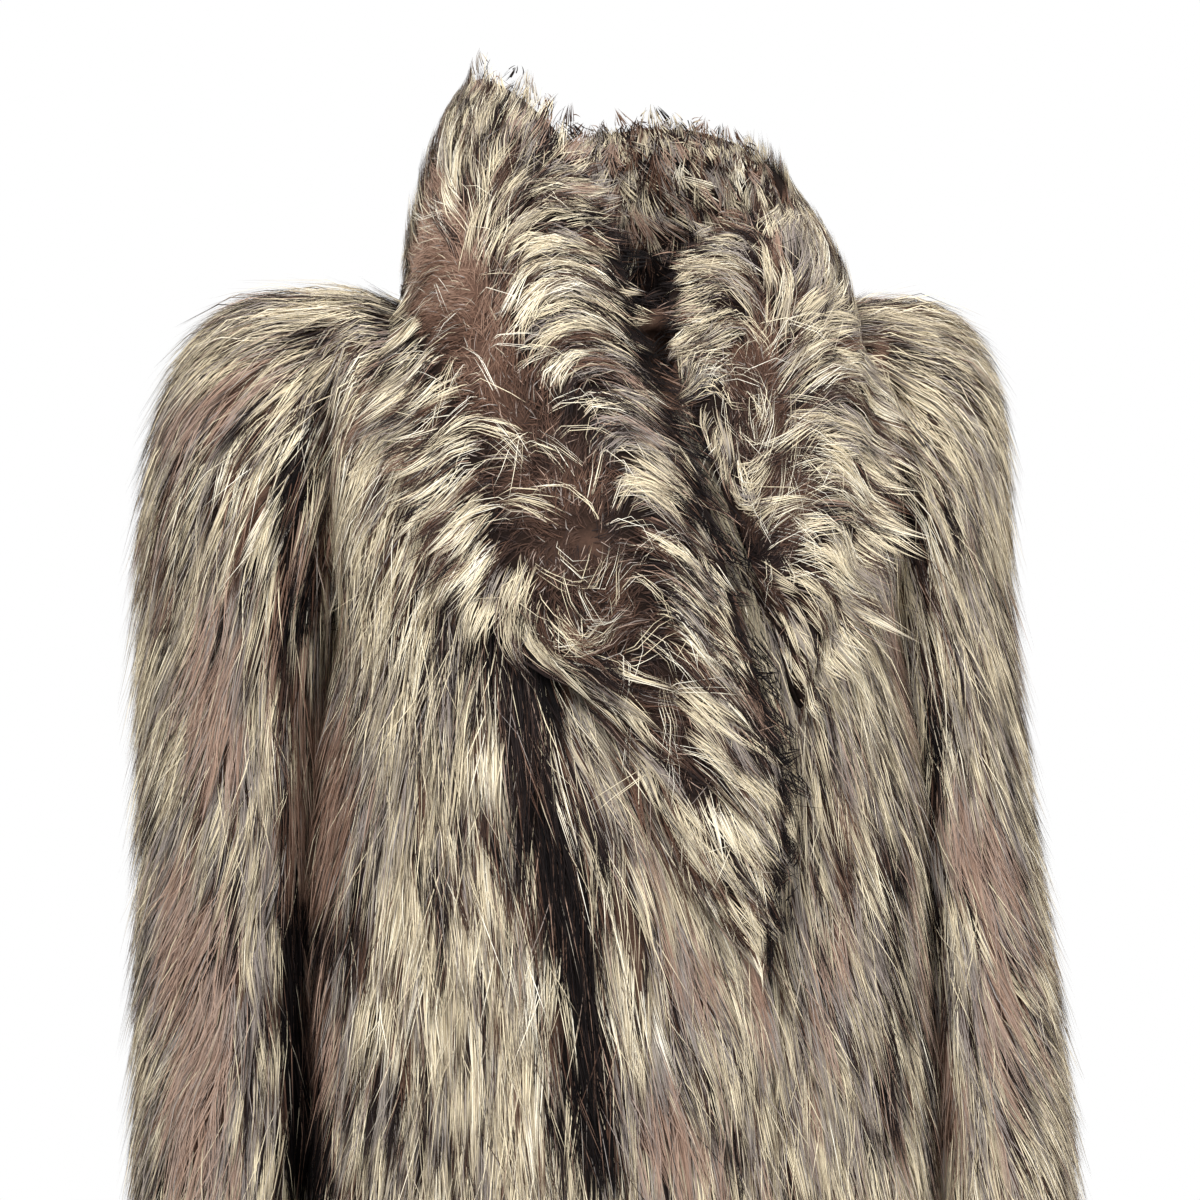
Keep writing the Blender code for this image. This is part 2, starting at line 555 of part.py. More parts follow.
def build():
    for thing in list(bpy.data.objects):
        bpy.data.objects.remove(thing)
    collection = bpy.data.collections.new(COAT)
    bpy.context.scene.collection.children.link(collection)

    front = front_half()
    back = back_half()
    side_seam = (front[:BELOW + 1, -1] + back[:BELOW + 1, -1]) / 2
    front[:BELOW + 1, -1] = side_seam
    back[:BELOW + 1, -1] = side_seam
    armhole = np.concatenate([front[:BELOW - 1:-1, -1], back[BELOW + 1:-1, -1]])
    pieces = {}
    halves = []
    for side, word, shape in ((-1, "right", SLEEVE_RIGHT), (1, "left", SLEEVE_LEFT)):
        grids = half_coat(front, back, sleeve_rings(armhole, shape), side)
        pieces["front_" + word] = grids["front"]
        pieces["sleeve_" + word] = grids["sleeve"]
        halves.append(grids["back"])
    right, left = halves
    pieces["back"] = {
        key: np.concatenate([right[key][:, ::-1], left[key][:, 1:]], axis=1) for key in ("inner", "normal", "wall")
    }
    pieces["back"].update({"wrapped": False, "turn": -1, "hem": 0, "edge": 0.0, "sides": 2})

    # The right front lies on the left one: its leather is raised there, and the fur under it is pressed flat.
    lap = pieces["front_right"]
    start = lap["inner"][:, :1, 0]
    reach = np.maximum(start + LAP_WIDTH, 0)
    inward = -lap["inner"][..., 0]
    covered = smoothstep(reach + LAP_BLEND, reach + LAP_EDGE, inward) * smoothstep(0, LAP_START, reach)
    lap["inner"] = lap["inner"] + lap["normal"] * (LAP_RISE * covered)[..., None]
    lap["edge"] = FRINGE_EDGE * smoothstep(0, FRINGE_START, start)
    under = pieces["front_left"]
    hidden = (under["inner"][..., 0] < start + FRINGE_EDGE + FRINGE_CLEAR) & (reach > 0)
    under["wall"] = np.where(hidden, np.minimum(under["wall"], THIN_WALL), under["wall"])

    leather = []
    for grid in pieces.values():
        rows, columns = grid["inner"].shape[:2]
        grid["faces"] = quads(rows, columns, grid["wrapped"])[:, :: grid["turn"]]
        leather.append((grid["inner"].reshape(-1, 3), grid["faces"]))
    offsets = np.cumsum([0] + [len(p) for p, _ in leather])
    body = tree_of(
        np.concatenate([p for p, _ in leather]),
        np.concatenate([f + start for (_, f), start in zip(leather, offsets)]),
    )

    collars = {}
    for name, table, side in (("collar_right", COLLAR_RIGHT, -1), ("collar_left", COLLAR_LEFT, 1)):
        rings = pushed_clear(collar_leaf(table), body, COLLAR_PRESS)
        rings[0, :, 0] = side * SEAM_HALF_GAP
        around = quads(*rings.shape[:2], True)[:, ::-side]
        collars[name] = {"rings": rings, "faces": around, "side": side}
    trees = [tree_of(collar["rings"].reshape(-1, 3), collar["faces"]) for collar in collars.values()]

    for grid in pieces.values():
        shape = grid["wall"].shape
        flat = grid["inner"].reshape(-1, 3)
        wall = under_collars(flat, grid["normal"].reshape(-1, 3), grid["wall"].ravel(), trees)
        grid["wall"] = eased(wall, flat, grid["faces"], np.arange(len(flat))).reshape(shape)
    settled(pieces, collars, body)
    for name, grid in pieces.items():
        points, faces = wall_mesh(grid)
        collection.objects.link(solid(name, points, halved(faces).tolist()))
    for name, collar in collars.items():
        rings = collar["rings"]
        number = np.arange(rings.shape[0] * rings.shape[1]).reshape(rings.shape[:2])
        ends = [number[0][:: collar["side"]].tolist(), number[-1][:: -collar["side"]].tolist()]
        collection.objects.link(solid(name, rings.reshape(-1, 3), halved(collar["faces"]).tolist() + ends))


build()
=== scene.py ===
"""The looks of a woman's long-haired fur coat with a standing shawl collar.

Metres, Z up. The wearer faces -Y and the wearer's left is +X. Every pelt is a thin closed shell of leather
and underfur, and the guard hair on it is a mesh of tapered ribbons that lie in locks.
"""

import bpy
import numpy as np
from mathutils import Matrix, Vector
from mathutils.bvhtree import BVHTree


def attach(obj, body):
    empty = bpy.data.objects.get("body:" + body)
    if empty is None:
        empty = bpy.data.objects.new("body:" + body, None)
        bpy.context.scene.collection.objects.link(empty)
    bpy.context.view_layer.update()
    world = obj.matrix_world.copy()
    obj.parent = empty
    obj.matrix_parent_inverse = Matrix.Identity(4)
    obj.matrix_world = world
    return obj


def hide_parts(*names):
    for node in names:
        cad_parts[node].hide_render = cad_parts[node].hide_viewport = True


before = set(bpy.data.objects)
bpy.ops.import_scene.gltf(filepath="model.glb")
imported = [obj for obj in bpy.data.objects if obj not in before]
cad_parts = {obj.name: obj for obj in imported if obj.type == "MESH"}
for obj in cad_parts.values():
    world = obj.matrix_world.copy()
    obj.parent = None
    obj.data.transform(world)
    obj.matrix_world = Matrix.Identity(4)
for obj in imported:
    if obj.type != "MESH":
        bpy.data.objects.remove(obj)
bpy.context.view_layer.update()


def in_metres(lengths, rows):
    """Rows whose first entries, as many as lengths says, are written in millimetres."""
    return tuple(tuple(x / 1000 for x in row[:lengths]) + tuple(row[lengths:]) for row in rows)


# Grid of every panel's leather
ACROSS = 18  # columns of a front, and of each half of the back
BELOW = 18  # rows from the hem to the underarm
ABOVE = 12  # rows from the underarm to the shoulder seam
SLEEVE_HEAD_RINGS = 9
SLEEVE_TUBE_RINGS = 12
COLLAR_SECTIONS = 30
COLLAR_AROUND = 18
LEAST_WALL = 0.0014
HAIRBREADTH = 1e-6
SAME_PLACE = 6  # points of a seam are one point where they agree to this many decimals
TINY = 1e-12
LAP_RISE = 0.0120
LAP_BLEND = 0.045
LAP_OVER = 0.020  # how far past the left front's edge the lap is still raised
LAP_FULL = 0.005

# One row per section of the front, from the hem up over the shoulder. "inner" and "outer" are how far the
# row starts and ends from the middle of the coat, "middle" and "side" the depths there, "pinch" how far the
# arm presses the side in, "square" the fullness of the curve and "wrap" the part of a quarter turn it
# takes.
SECTION = ("height", "inner", "outer", "middle", "side", "pinch", "square", "wrap")
FRONT = in_metres(6, (
    (-930, -66, 262, -196, 4, 0, 2.2, 1.0), (-800, -66, 246, -187, -6, 16, 2.3, 1.0),
    (-640, -66, 228, -178, -16, 52, 2.6, 1.0), (-480, -66, 217, -170, -6, 55, 2.8, 1.0),
    (-340, -66, 211, -162, 4, 51, 2.9, 1.0), (-222, -64, 191, -154, 10, 25, 2.8, 1.0),
    (-180, -50, 186, -148, -50, 0, 2.6, 0.9), (-108, -12, 194, -134, -72, 0, 2.3, 0.72),
    (-45, 30, 200, -103, -52, 0, 2.1, 0.55), (-12, 56, 205, -62, -29, 0, 2.0, 0.5),
))
SHOULDER_SEAM = (0.000, 0.072, 0.207, 0.002, 0.002, 0.000, 2.0, 0.50)
BACK = in_metres(6, (
    (-930, 0, 262, 180, 4, 0, 2.2, 1.0), (-800, 0, 246, 166, -6, 16, 2.3, 1.0),
    (-640, 0, 228, 150, -16, 52, 2.6, 1.0), (-480, 0, 217, 142, -6, 55, 2.7, 1.0),
    (-340, 0, 211, 136, 4, 51, 2.7, 1.0), (-222, 0, 191, 132, 10, 25, 2.7, 1.0),
    (-180, 0, 186, 130, 62, 0, 2.5, 0.9), (-108, 0, 195, 120, 78, 0, 2.3, 0.72),
    (-55, 0, 200, 104, 63, 0, 2.1, 0.55), (-22, 0, 204, 84, 38, 0, 2.0, 0.5),
))
# Half of the back neckline, from the centre back to where the shoulder seam starts: out, back and height.
BACK_NECK = in_metres(3, (
    (0, 70, -2), (30, 64, -1), (56, 42, 0), (72, 2, 0),
))
PINCH_REACH = 0.064
PINCH_FADE = (0.35, 0.85)  # the parts of the way out from which the arm presses, and presses fully
CURVE_POINTS = 400
NECK_POINTS = 60
UNDERARM = -0.222

# One row per ring of a sleeve, from the upper arm to the cuff. The left arm hangs a little further out than
# the right.
RING = ("height", "out", "forward", "half_width", "half_depth", "tilt")
SLEEVE_RIGHT = in_metres(5, (
    (-235, 244, 0, 56, 72, 0.36), (-330, 244.5, -4, 56, 71, 0.12), (-430, 246.5, -12, 55, 69, 0.02),
    (-530, 250, -22, 53.5, 67, 0.0), (-625, 254, -34, 52, 65, 0.0),
))
SLEEVE_LEFT = in_metres(5, (
    (-235, 226, 0, 51, 70, 0.36), (-330, 235, -4, 53, 70, 0.12), (-430, 247, -12, 54, 69, 0.02),
    (-530, 258, -22, 53.5, 67, 0.0), (-625, 267, -34, 52, 65, 0.0),
))
HEAD_REACH_TOP = (0.245, 0.0, 0.012)
HEAD_REACH_UNDER = (0.020, 0.0, -0.050)
HEAD_REACH_SIDE = 0.035
TUBE_REACH_TOP = 0.300
TUBE_REACH_UNDER = 0.060

# One row per section of a collar half, from the centre back to the lapel point: the roll line, which is the
# upper or inner edge, the outer edge, and the thickness on the outer and the body side.
COLLAR_RIGHT = in_metres(8, (
    (0, 88, 135, 0, 132, -20, 30, 24), (-45, 82, 142, -72, 127, -18, 30, 24),
    (-78, 52, 155, -115, 88, -10, 27, 24), (-85, 10, 168, -130, 30, -6, 25, 26),
    (-58, -40, 145, -140, -30, -8, 26, 26), (-28, -74, 103, -147, -78, -22, 28, 26),
    (-8, -100, 50, -146, -115, -55, 30, 24), (3, -126, -10, -140, -140, -95, 30, 22),
    (20, -152, -70, -126, -158, -140, 30, 20), (40, -178, -130, -110, -172, -182, 28, 18),
    (56, -192, -200, -74, -182, -228, 26, 16), (76, -200, -270, -24, -190, -274, 24, 14),
    (86, -206, -335, 8, -198, -342, 20, 12), (74, -208, -415, 54, -206, -412, 9, 6),
))
COLLAR_LEFT = in_metres(8, (
    (0, 88, 135, 0, 132, -20, 30, 24), (45, 84, 145, 72, 127, -18, 30, 24),
    (92, 62, 140, 120, 90, -10, 27, 24), (124, 20, 115, 144, 34, -6, 25, 26),
    (126, -30, 82, 160, -30, -12, 26, 24), (94, -70, 62, 166, -78, -32, 30, 24),
    (52, -98, 46, 164, -112, -64, 32, 22), (26, -120, 12, 158, -138, -104, 32, 20),
    (28, -142, -45, 146, -155, -148, 31, 18), (44, -160, -100, 134, -166, -184, 29, 16),
    (62, -172, -150, 122, -174, -214, 26, 14), (80, -180, -200, 110, -180, -240, 20, 12),
    (92, -186, -244, 100, -184, -262, 10, 8),
))


def hermite(t, start, leave, end, arrive):
    """The cubic curve from start, which it leaves with one tangent, to end, where it arrives with another."""
    return (
        (2 * t**3 - 3 * t**2 + 1) * start
        + (t**3 - 2 * t**2 + t) * leave
        + (3 * t**2 - 2 * t**3) * end
        + (t**3 - t**2) * arrive
    )


def spline(knots, values, at):
    """A smooth curve through the values at the knots."""
    knots = np.asarray(knots, float)
    values = np.asarray(values, float)
    steps = np.diff(knots)
    shape = (-1,) + (1,) * (values.ndim - 1)
    slopes = np.diff(values, axis=0) / steps.reshape(shape)
    ratio = (steps[1:] / (steps[1:] + steps[:-1])).reshape(shape)
    inside = slopes[:-1] * ratio + slopes[1:] * (1 - ratio)
    tangents = np.concatenate([slopes[:1], inside, slopes[-1:]])
    at = np.clip(at, knots[0], knots[-1])
    low = np.clip(np.searchsorted(knots, at, side="right") - 1, 0, len(knots) - 2)
    step = steps[low].reshape(shape)
    t = ((at - knots[low]) / steps[low]).reshape(shape)
    return hermite(t, values[low], step * tangents[low], values[low + 1], step * tangents[low + 1])


def smoothstep(low, high, x):
    """Smoothly from 0 at low to 1 at high, whichever of the two is the larger."""
    t = np.clip((x - low) / (high - low), 0, 1)
    return t * t * (3 - 2 * t)


def rising(least, fade, x):
    """From least up to 1, while x goes from the fade's first place to its second."""
    return least + (1 - least) * smoothstep(*fade, x)


def unit(vectors):
    return vectors / np.maximum(np.linalg.norm(vectors, axis=-1, keepdims=True), TINY)


def evenly(points, fractions):
    """The points at these fractions of a polyline's length."""
    lengths = np.concatenate([[0], np.cumsum(np.linalg.norm(np.diff(points, axis=0), axis=1))])
    wanted = np.asarray(fractions) * lengths[-1]
    return np.stack([np.interp(wanted, lengths, points[:, axis]) for axis in range(3)], axis=1)


def from_line(points, x0, z0, x1, z1):
    """How far points are from a line on the front view, and the part of its length where they are nearest."""
    start = np.array([x0, z0])
    run = np.array([x1, z1]) - start
    off = points[:, [0, 2]] - start
    part = np.clip(off @ run / (run @ run), 0, 1)
    return np.linalg.norm(off - part[:, None] * run, axis=1), part


def section_curve(row):
    """Half of one level section, from its inner end round to its side, a rounded corner between them."""
    size = dict(zip(SECTION, row))
    power = 2 / size["square"]
    last = size["wrap"] * np.pi / 2
    whole = size["outer"] / np.sin(last) ** power
    start = np.sign(size["inner"]) * np.arcsin(abs(size["inner"] / whole) ** (1 / power))
    angle = np.linspace(start, last, CURVE_POINTS)
    out = whole * np.sign(np.sin(angle)) * np.abs(np.sin(angle)) ** power
    least = np.cos(last) ** power
    swell = (np.abs(np.cos(angle)) ** power - least) / (1 - least)
    depth = size["side"] + (size["middle"] - size["side"]) * swell
    pressed = size["pinch"] * np.exp(-(((depth - size["side"]) / PINCH_REACH) ** 2))
    out = out - pressed * smoothstep(*PINCH_FADE, out / size["outer"])
    height = np.full_like(out, size["height"])
    return evenly(np.stack([out, depth, height], axis=1), np.linspace(0, 1, ACROSS + 1))


def columns_through(rows, heights):
    """Smooth columns through a panel's sections, in even steps to the underarm and then to the shoulder."""
    gaps = np.linalg.norm(np.diff(rows, axis=0), axis=2)[:, -1]
    knots = np.concatenate([[0], np.cumsum(gaps)])
    underarm = knots[list(heights).index(UNDERARM)]
    at = np.concatenate([
        np.linspace(0, underarm, BELOW, endpoint=False),
        np.linspace(underarm, knots[-1], ABOVE + 1),
    ])
    return spline(knots, rows, at)


def front_half():
    """The leather of one front: rows from hem to shoulder, columns from the front edge to the side."""
    rows = [section_curve(row) for row in FRONT + (SHOULDER_SEAM,)]
    return columns_through(np.array(rows), [row[0] for row in FRONT])


def back_half():
    """The leather of half the back: rows from the hem up to neck and shoulder, columns from the centre."""
    neck = np.array(BACK_NECK)
    curve = spline(np.arange(len(neck)), neck, np.linspace(0, len(neck) - 1, NECK_POINTS))
    tip = section_curve(SHOULDER_SEAM)[-1]
    top = evenly(np.concatenate([curve, tip[None]]), np.linspace(0, 1, ACROSS + 1))
    rows = [section_curve(row) for row in BACK] + [top]
    return columns_through(np.array(rows), [row[0] for row in BACK])


def sleeve_rings(armhole, shape):
    """The leather of one sleeve, ring by ring from the armhole to the cuff. A ring starts at the shoulder."""
    lengths = np.linalg.norm(np.roll(armhole, -1, axis=0) - armhole, axis=1)
    turn = 2 * np.pi * np.concatenate([[0], np.cumsum(lengths)[:-1]]) / lengths.sum()
    table = np.array(shape)
    along = -table[:, 0]
    at = np.linspace(along[0], along[-1], SLEEVE_TUBE_RINGS + 1)
    size = dict(zip(RING, spline(along, table, at).T))
    outward = np.cos(turn)[None, :]
    frontward = -np.sin(turn)[None, :]
    tube = np.stack([
        size["out"][:, None] + size["half_width"][:, None] * outward,
        size["forward"][:, None] + size["half_depth"][:, None] * frontward,
        size["height"][:, None] + (size["tilt"] * size["half_width"])[:, None] * outward,
    ], axis=2)
    upper = ((1 + np.cos(turn)) / 2)[:, None]
    leave = upper * np.array(HEAD_REACH_TOP) + (1 - upper) * np.array(HEAD_REACH_UNDER)
    leave[:, 1] += HEAD_REACH_SIDE * frontward[0]
    arrive = unit(tube[1] - tube[0]) * (upper * TUBE_REACH_TOP + (1 - upper) * TUBE_REACH_UNDER)
    t = np.linspace(0, 1, SLEEVE_HEAD_RINGS + 1)[:-1, None, None]
    return np.concatenate([hermite(t, armhole, leave, tube[0], arrive), tube])


def quads(rows, columns, wrapped=False):
    """The four corners of each cell of a grid numbered row by row."""
    last = columns if wrapped else columns - 1
    row, column = np.meshgrid(np.arange(rows - 1), np.arange(last), indexing="ij")
    beside = (column + 1) % columns
    return np.stack([
        row * columns + column,
        row * columns + beside,
        (row + 1) * columns + beside,
        (row + 1) * columns + column,
    ], axis=-1).reshape(-1, 4)


def shared_normals(grids):
    """Outward normals of grids that share edges, the same on both sides of each shared edge."""
    points = np.concatenate([grid["points"].reshape(-1, 3) for grid in grids])
    faces = []
    first = 0
    for grid in grids:
        rows, columns = grid["points"].shape[:2]
        faces.append(first + quads(rows, columns, grid["wrapped"])[:, :: grid["turn"]])
        first += rows * columns
    faces = np.concatenate(faces)
    _, index = np.unique(np.round(points, SAME_PLACE), axis=0, return_inverse=True)
    index = index.reshape(-1)
    corner = points[faces]
    normal = np.cross(corner[:, 2] - corner[:, 0], corner[:, 3] - corner[:, 1])
    total = np.zeros((index.max() + 1, 3))
    for side in range(4):
        np.add.at(total, index[faces[:, side]], normal)
    return points, unit(total)[index]


def collar_leaf(table):
    """One collar half as closed rings, each a leaf from the roll line to the outer edge and back."""
    size = np.array(table)
    middle = (size[:, 0:3] + size[:, 3:6]) / 2
    knots = np.concatenate([[0], np.cumsum(np.linalg.norm(np.diff(middle, axis=0), axis=1))])
    size = spline(knots, size, np.linspace(0, knots[-1], COLLAR_SECTIONS + 1))
    roll = size[:, 0:3]
    edge = size[:, 3:6]
    middle = (roll + edge) / 2
    across = (edge - roll) / 2
    path = np.gradient(middle, axis=0)
    path[0] = (path[0, 0], 0, 0)
    side = np.sign(path[1, 0])
    outward = unit(np.cross(path, across)) * side
    turn = np.linspace(0, 2 * np.pi, COLLAR_AROUND, endpoint=False)
    fullness = np.sin(turn)[None, :] * np.where(np.sin(turn)[None, :] > 0, size[:, 6:7], size[:, 7:8])
    return (
        middle[:, None, :]
        - across[:, None, :] * np.cos(turn)[None, :, None]
        + outward[:, None, :] * fullness[:, :, None]
    )


# Pelts
REFINE = 2  # finer cells along each side of a cell of the leather's grid
BEFORE, AFTER = 2, 3  # columns that a wrapped grid repeats before its first and after its last one
UNDERFUR = 0.55  # how far up the wall the underfur reaches
LEAST_PELT = 0.0012
RAY_REACH = 0.060
RAY_START = 0.0004
SEAM_STEPS = 8  # hair is led this many cells on past a seam
ROOTED_BEFORE = 2  # a sleeve's hair is rooted from this many cells before its seam
RIM_NUDGE = 0.12  # rays from a seam start this part of a cell inside it

# Guard hair
PATH_STEPS = 6
SEEN_STEP = 4  # a lock takes the tone of the place this many steps of its path from its root
LENGTHS = (0.80, 1.15)  # a lock's length, as parts of its style's
WIDTHS = (0.6, 1.3)
CLOSINGS = (0.7, 1.1)
CLOSING_POWER = 1.3
OWN_SHARE = 0.6  # a single hair differs by this part of what its lock may
LONGEST = 1.25  # a hair stretched over a corner to more than this many times its lock is left out
LONGEST_RISE = 0.012
TAPER_POWER = 2.2  # a hair keeps its width for longer, the higher this is


def refined(grid, wrapped):
    """A grid with REFINE times as many cells each way, on smooth curves through its columns and rows."""
    rows = np.arange(len(grid))
    fine = spline(rows, grid, np.linspace(0, rows[-1], rows[-1] * REFINE + 1))
    across = np.swapaxes(fine, 0, 1)
    if wrapped:
        across = np.concatenate([across[-BEFORE:], across, across[:AFTER]])
        columns = np.arange(len(across))
        at = np.linspace(BEFORE, len(across) - AFTER, (len(across) - BEFORE - AFTER) * REFINE + 1)[:-1]
    else:
        columns = np.arange(len(across))
        at = np.linspace(0, columns[-1], columns[-1] * REFINE + 1)
    return np.swapaxes(spline(columns, across, at), 0, 1)


def tree_of_node(name):
    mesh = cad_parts[name].data
    points = [vertex.co[:] for vertex in mesh.vertices]
    return BVHTree.FromPolygons(points, [face.vertices[:] for face in mesh.polygons])


def wall_over(name, leather, normal, wrapped):
    """How far the solid of this name reaches out from its leather, by a ray along each point's normal."""
    tree = tree_of_node(name)
    start = leather.copy()
    start[0] += (leather[1] - leather[0]) * RIM_NUDGE
    start[-1] += (leather[-2] - leather[-1]) * RIM_NUDGE
    if not wrapped:
        start[:, 0] += (leather[:, 1] - leather[:, 0]) * RIM_NUDGE
        start[:, -1] += (leather[:, -2] - leather[:, -1]) * RIM_NUDGE
    wall = np.full(leather.shape[:2], LEAST_WALL)
    for row in range(leather.shape[0]):
        for column in range(leather.shape[1]):
            facing = Vector(normal[row, column])
            point = Vector(start[row, column]) + facing * RAY_START
            hit = tree.ray_cast(point, facing, RAY_REACH)
            if hit[3] is not None:
                wall[row, column] = max(hit[3], LEAST_WALL)
    return wall


def half_panels(side, sleeve_table):
    """The leather of one side's front, half back and sleeve, with normals shared over their seams."""
    front = front_half()
    back = back_half()
    side_seam = (front[:BELOW + 1, -1] + back[:BELOW + 1, -1]) / 2
    front[:BELOW + 1, -1] = side_seam
    back[:BELOW + 1, -1] = side_seam
    armhole = np.concatenate([front[:BELOW - 1:-1, -1], back[BELOW + 1:-1, -1]])
    panels = [
        {"points": front, "wrapped": False, "turn": 1},
        {"points": back, "wrapped": False, "turn": -1},
        {"points": sleeve_rings(armhole, sleeve_table), "wrapped": True, "turn": 1},
    ]
    points, normals = shared_normals(panels)
    normals[np.abs(points[:, 0]) < HAIRBREADTH, 0] = 0
    normals = unit(normals)
    flip = np.array([side, 1, 1])
    made = []
    first = 0
    for panel in panels:
        shape = panel["points"].shape
        last = first + shape[0] * shape[1]
        made.append((panel["points"] * flip, normals[first:last].reshape(shape) * flip))
        first = last
    return made


def lapped(leather, normal):
    """The right front's leather, raised where it lies on the left one."""
    reach = np.maximum(leather[:, :1, 0] + LAP_OVER, 0)
    covered = smoothstep(reach + LAP_BLEND, reach + LAP_FULL, -leather[..., 0])
    covered = covered * smoothstep(0, LAP_OVER, reach)
    return leather + normal * (LAP_RISE * covered)[..., None]


def skin(name, leather, normal, wrapped, turn):
    """A panel's leather and, over it, where the tips of its fur lie, both on the finer grid."""
    wall = wall_over(name, leather, normal, wrapped)
    tips = leather + normal * wall[..., None]
    low = refined(leather, wrapped)
    high = refined(tips, wrapped)
    return {"name": name, "low": low, "high": high, "wrapped": wrapped, "turn": turn}


def leaf_skins(name, table, side):
    """The two fur sides of a collar half: from the leather in its middle out to the solid's surface."""
    tree = tree_of_node(name)
    rings = collar_leaf(table)
    for ring in rings:
        for point in ring:
            point[:] = tree.find_nearest(Vector(point))[0]
    half = COLLAR_AROUND // 2
    over = rings[:, : half + 1]
    under = np.concatenate([rings[:, :1], rings[:, :half - 1:-1]], axis=1)
    middle = (over + under) / 2
    made = []
    for word, face, turn in (("over", over, -side), ("under", under, side)):
        made.append({
            "name": name + "_" + word,
            "low": refined(middle, False),
            "high": refined(face, False),
            "wrapped": False,
            "turn": turn,
        })
    return made


def over_seams(panels):
    """For each panel, the surface that leads its hair on over its seams, along the panels that join it there.

    A sleeve's columns start at the shoulder: going down the front of the armhole they meet the rows of the
    front, and going up again behind it those of the back.
    """
    top = (BELOW + ABOVE) * REFINE
    underarm = BELOW * REFINE
    arm = top - underarm
    steps = np.arange(1, SEAM_STEPS + 1)
    guides = {}
    sides = {}
    for word in ("right", "left"):
        front = panels["front_" + word]
        sleeve = panels["sleeve_" + word]
        for level in ("low", "high"):
            behind = panels["back"][level][:, :: 1 if word == "right" else -1]
            after_front = behind[:, steps].copy()
            after_front[underarm:] = np.swapaxes(sleeve[level][steps][:, arm::-1], 0, 1)
            after_back = front[level][:, -1 - steps].copy()
            around = np.arange(arm, 2 * arm + 1) % (2 * arm)
            after_back[underarm:] = np.swapaxes(sleeve[level][steps][:, around], 0, 1)
            before_sleeve = np.concatenate([
                front[level][top:underarm - 1:-1, -1 - steps],
                behind[underarm + 1:top, steps],
            ])
            before_sleeve = np.swapaxes(before_sleeve, 0, 1)[::-1]
            sides[word, level] = after_back
            led_front = np.concatenate([front[level], after_front], axis=1)
            led_sleeve = np.concatenate([before_sleeve, sleeve[level]])
            guides.setdefault("front_" + word, dict(front))[level] = led_front
            guides.setdefault("sleeve_" + word, dict(sleeve))[level] = led_sleeve
        guides["front_" + word]["rooted"] = (0, top, 0, ACROSS * REFINE)
        rings = len(sleeve["low"])
        guides["sleeve_" + word]["rooted"] = (SEAM_STEPS - ROOTED_BEFORE, SEAM_STEPS + rings - 1, 0, 2 * arm)
    guides["back"] = dict(panels["back"], rooted=(0, top, SEAM_STEPS, SEAM_STEPS + 2 * ACROSS * REFINE))
    for level in ("low", "high"):
        guides["back"][level] = np.concatenate(
            [sides["right", level][:, ::-1], panels["back"][level], sides["left", level]], axis=1
        )
    return guides


def at(grid, a, b, wrapped):
    """The points of a grid at fractional rows a and columns b, carried straight on past its ends."""
    rows, columns = grid.shape[:2]
    i = np.clip(np.floor(a).astype(int), 0, rows - 2)
    j = np.floor(b).astype(int)
    if not wrapped:
        j = np.clip(j, 0, columns - 2)
    s = (a - i)[..., None]
    t = (b - j)[..., None]
    k = (j + 1) % columns
    j = j % columns
    return (
        grid[i, j] * (1 - s) * (1 - t)
        + grid[i + 1, j] * s * (1 - t)
        + grid[i, k] * (1 - s) * t
        + grid[i + 1, k] * s * t
    )


def slopes(grid, a, b, wrapped):
    """How the surface runs at these places: one step along the columns, and one across them."""
    rows, columns = grid.shape[:2]
    step = 0.5
    a = np.clip(a, 0, rows - 1)
    if not wrapped:
        b = np.clip(b, 0, columns - 1)
    before = np.clip(a - step, 0, rows - 1)
    after = np.clip(a + step, 0, rows - 1)
    along = (at(grid, after, b, wrapped) - at(grid, before, b, wrapped)) / (after - before)[..., None]
    if wrapped:
        across = at(grid, a, b + step, True) - at(grid, a, b - step, True)
    else:
        low = np.clip(b - step, 0, columns - 1)
        high = np.clip(b + step, 0, columns - 1)
        across = (at(grid, a, high, False) - at(grid, a, low, False)) / (high - low)[..., None]
    return along, across


def surface_normal(along, across, turn):
    return unit(np.cross(across, along)) * turn


def seeds(place, count, density, random):
    """Random places where hair is rooted on a skin, as many to the area as the density there asks for."""
    grid = place["high"]
    wrapped = place["wrapped"]
    rows, columns = grid.shape[:2]
    everything = (0, rows - 1, 0, columns if wrapped else columns - 1)
    first_a, last_a, first_b, last_b = place.get("rooted", everything)
    mesh = np.meshgrid(np.arange(first_a, last_a), np.arange(first_b, last_b), indexing="ij")
    a, b = (part.ravel() + 0.5 for part in mesh)
    along, across = slopes(grid, a, b, wrapped)
    area = np.linalg.norm(np.cross(along, across), axis=-1)
    share = np.cumsum(area * density(a, b))
    picks = (np.arange(count) + random.random(count)) / count * share[-1]
    cell = np.searchsorted(share, picks)
    return a[cell] + random.random(count) - 0.5, b[cell] + random.random(count) - 0.5


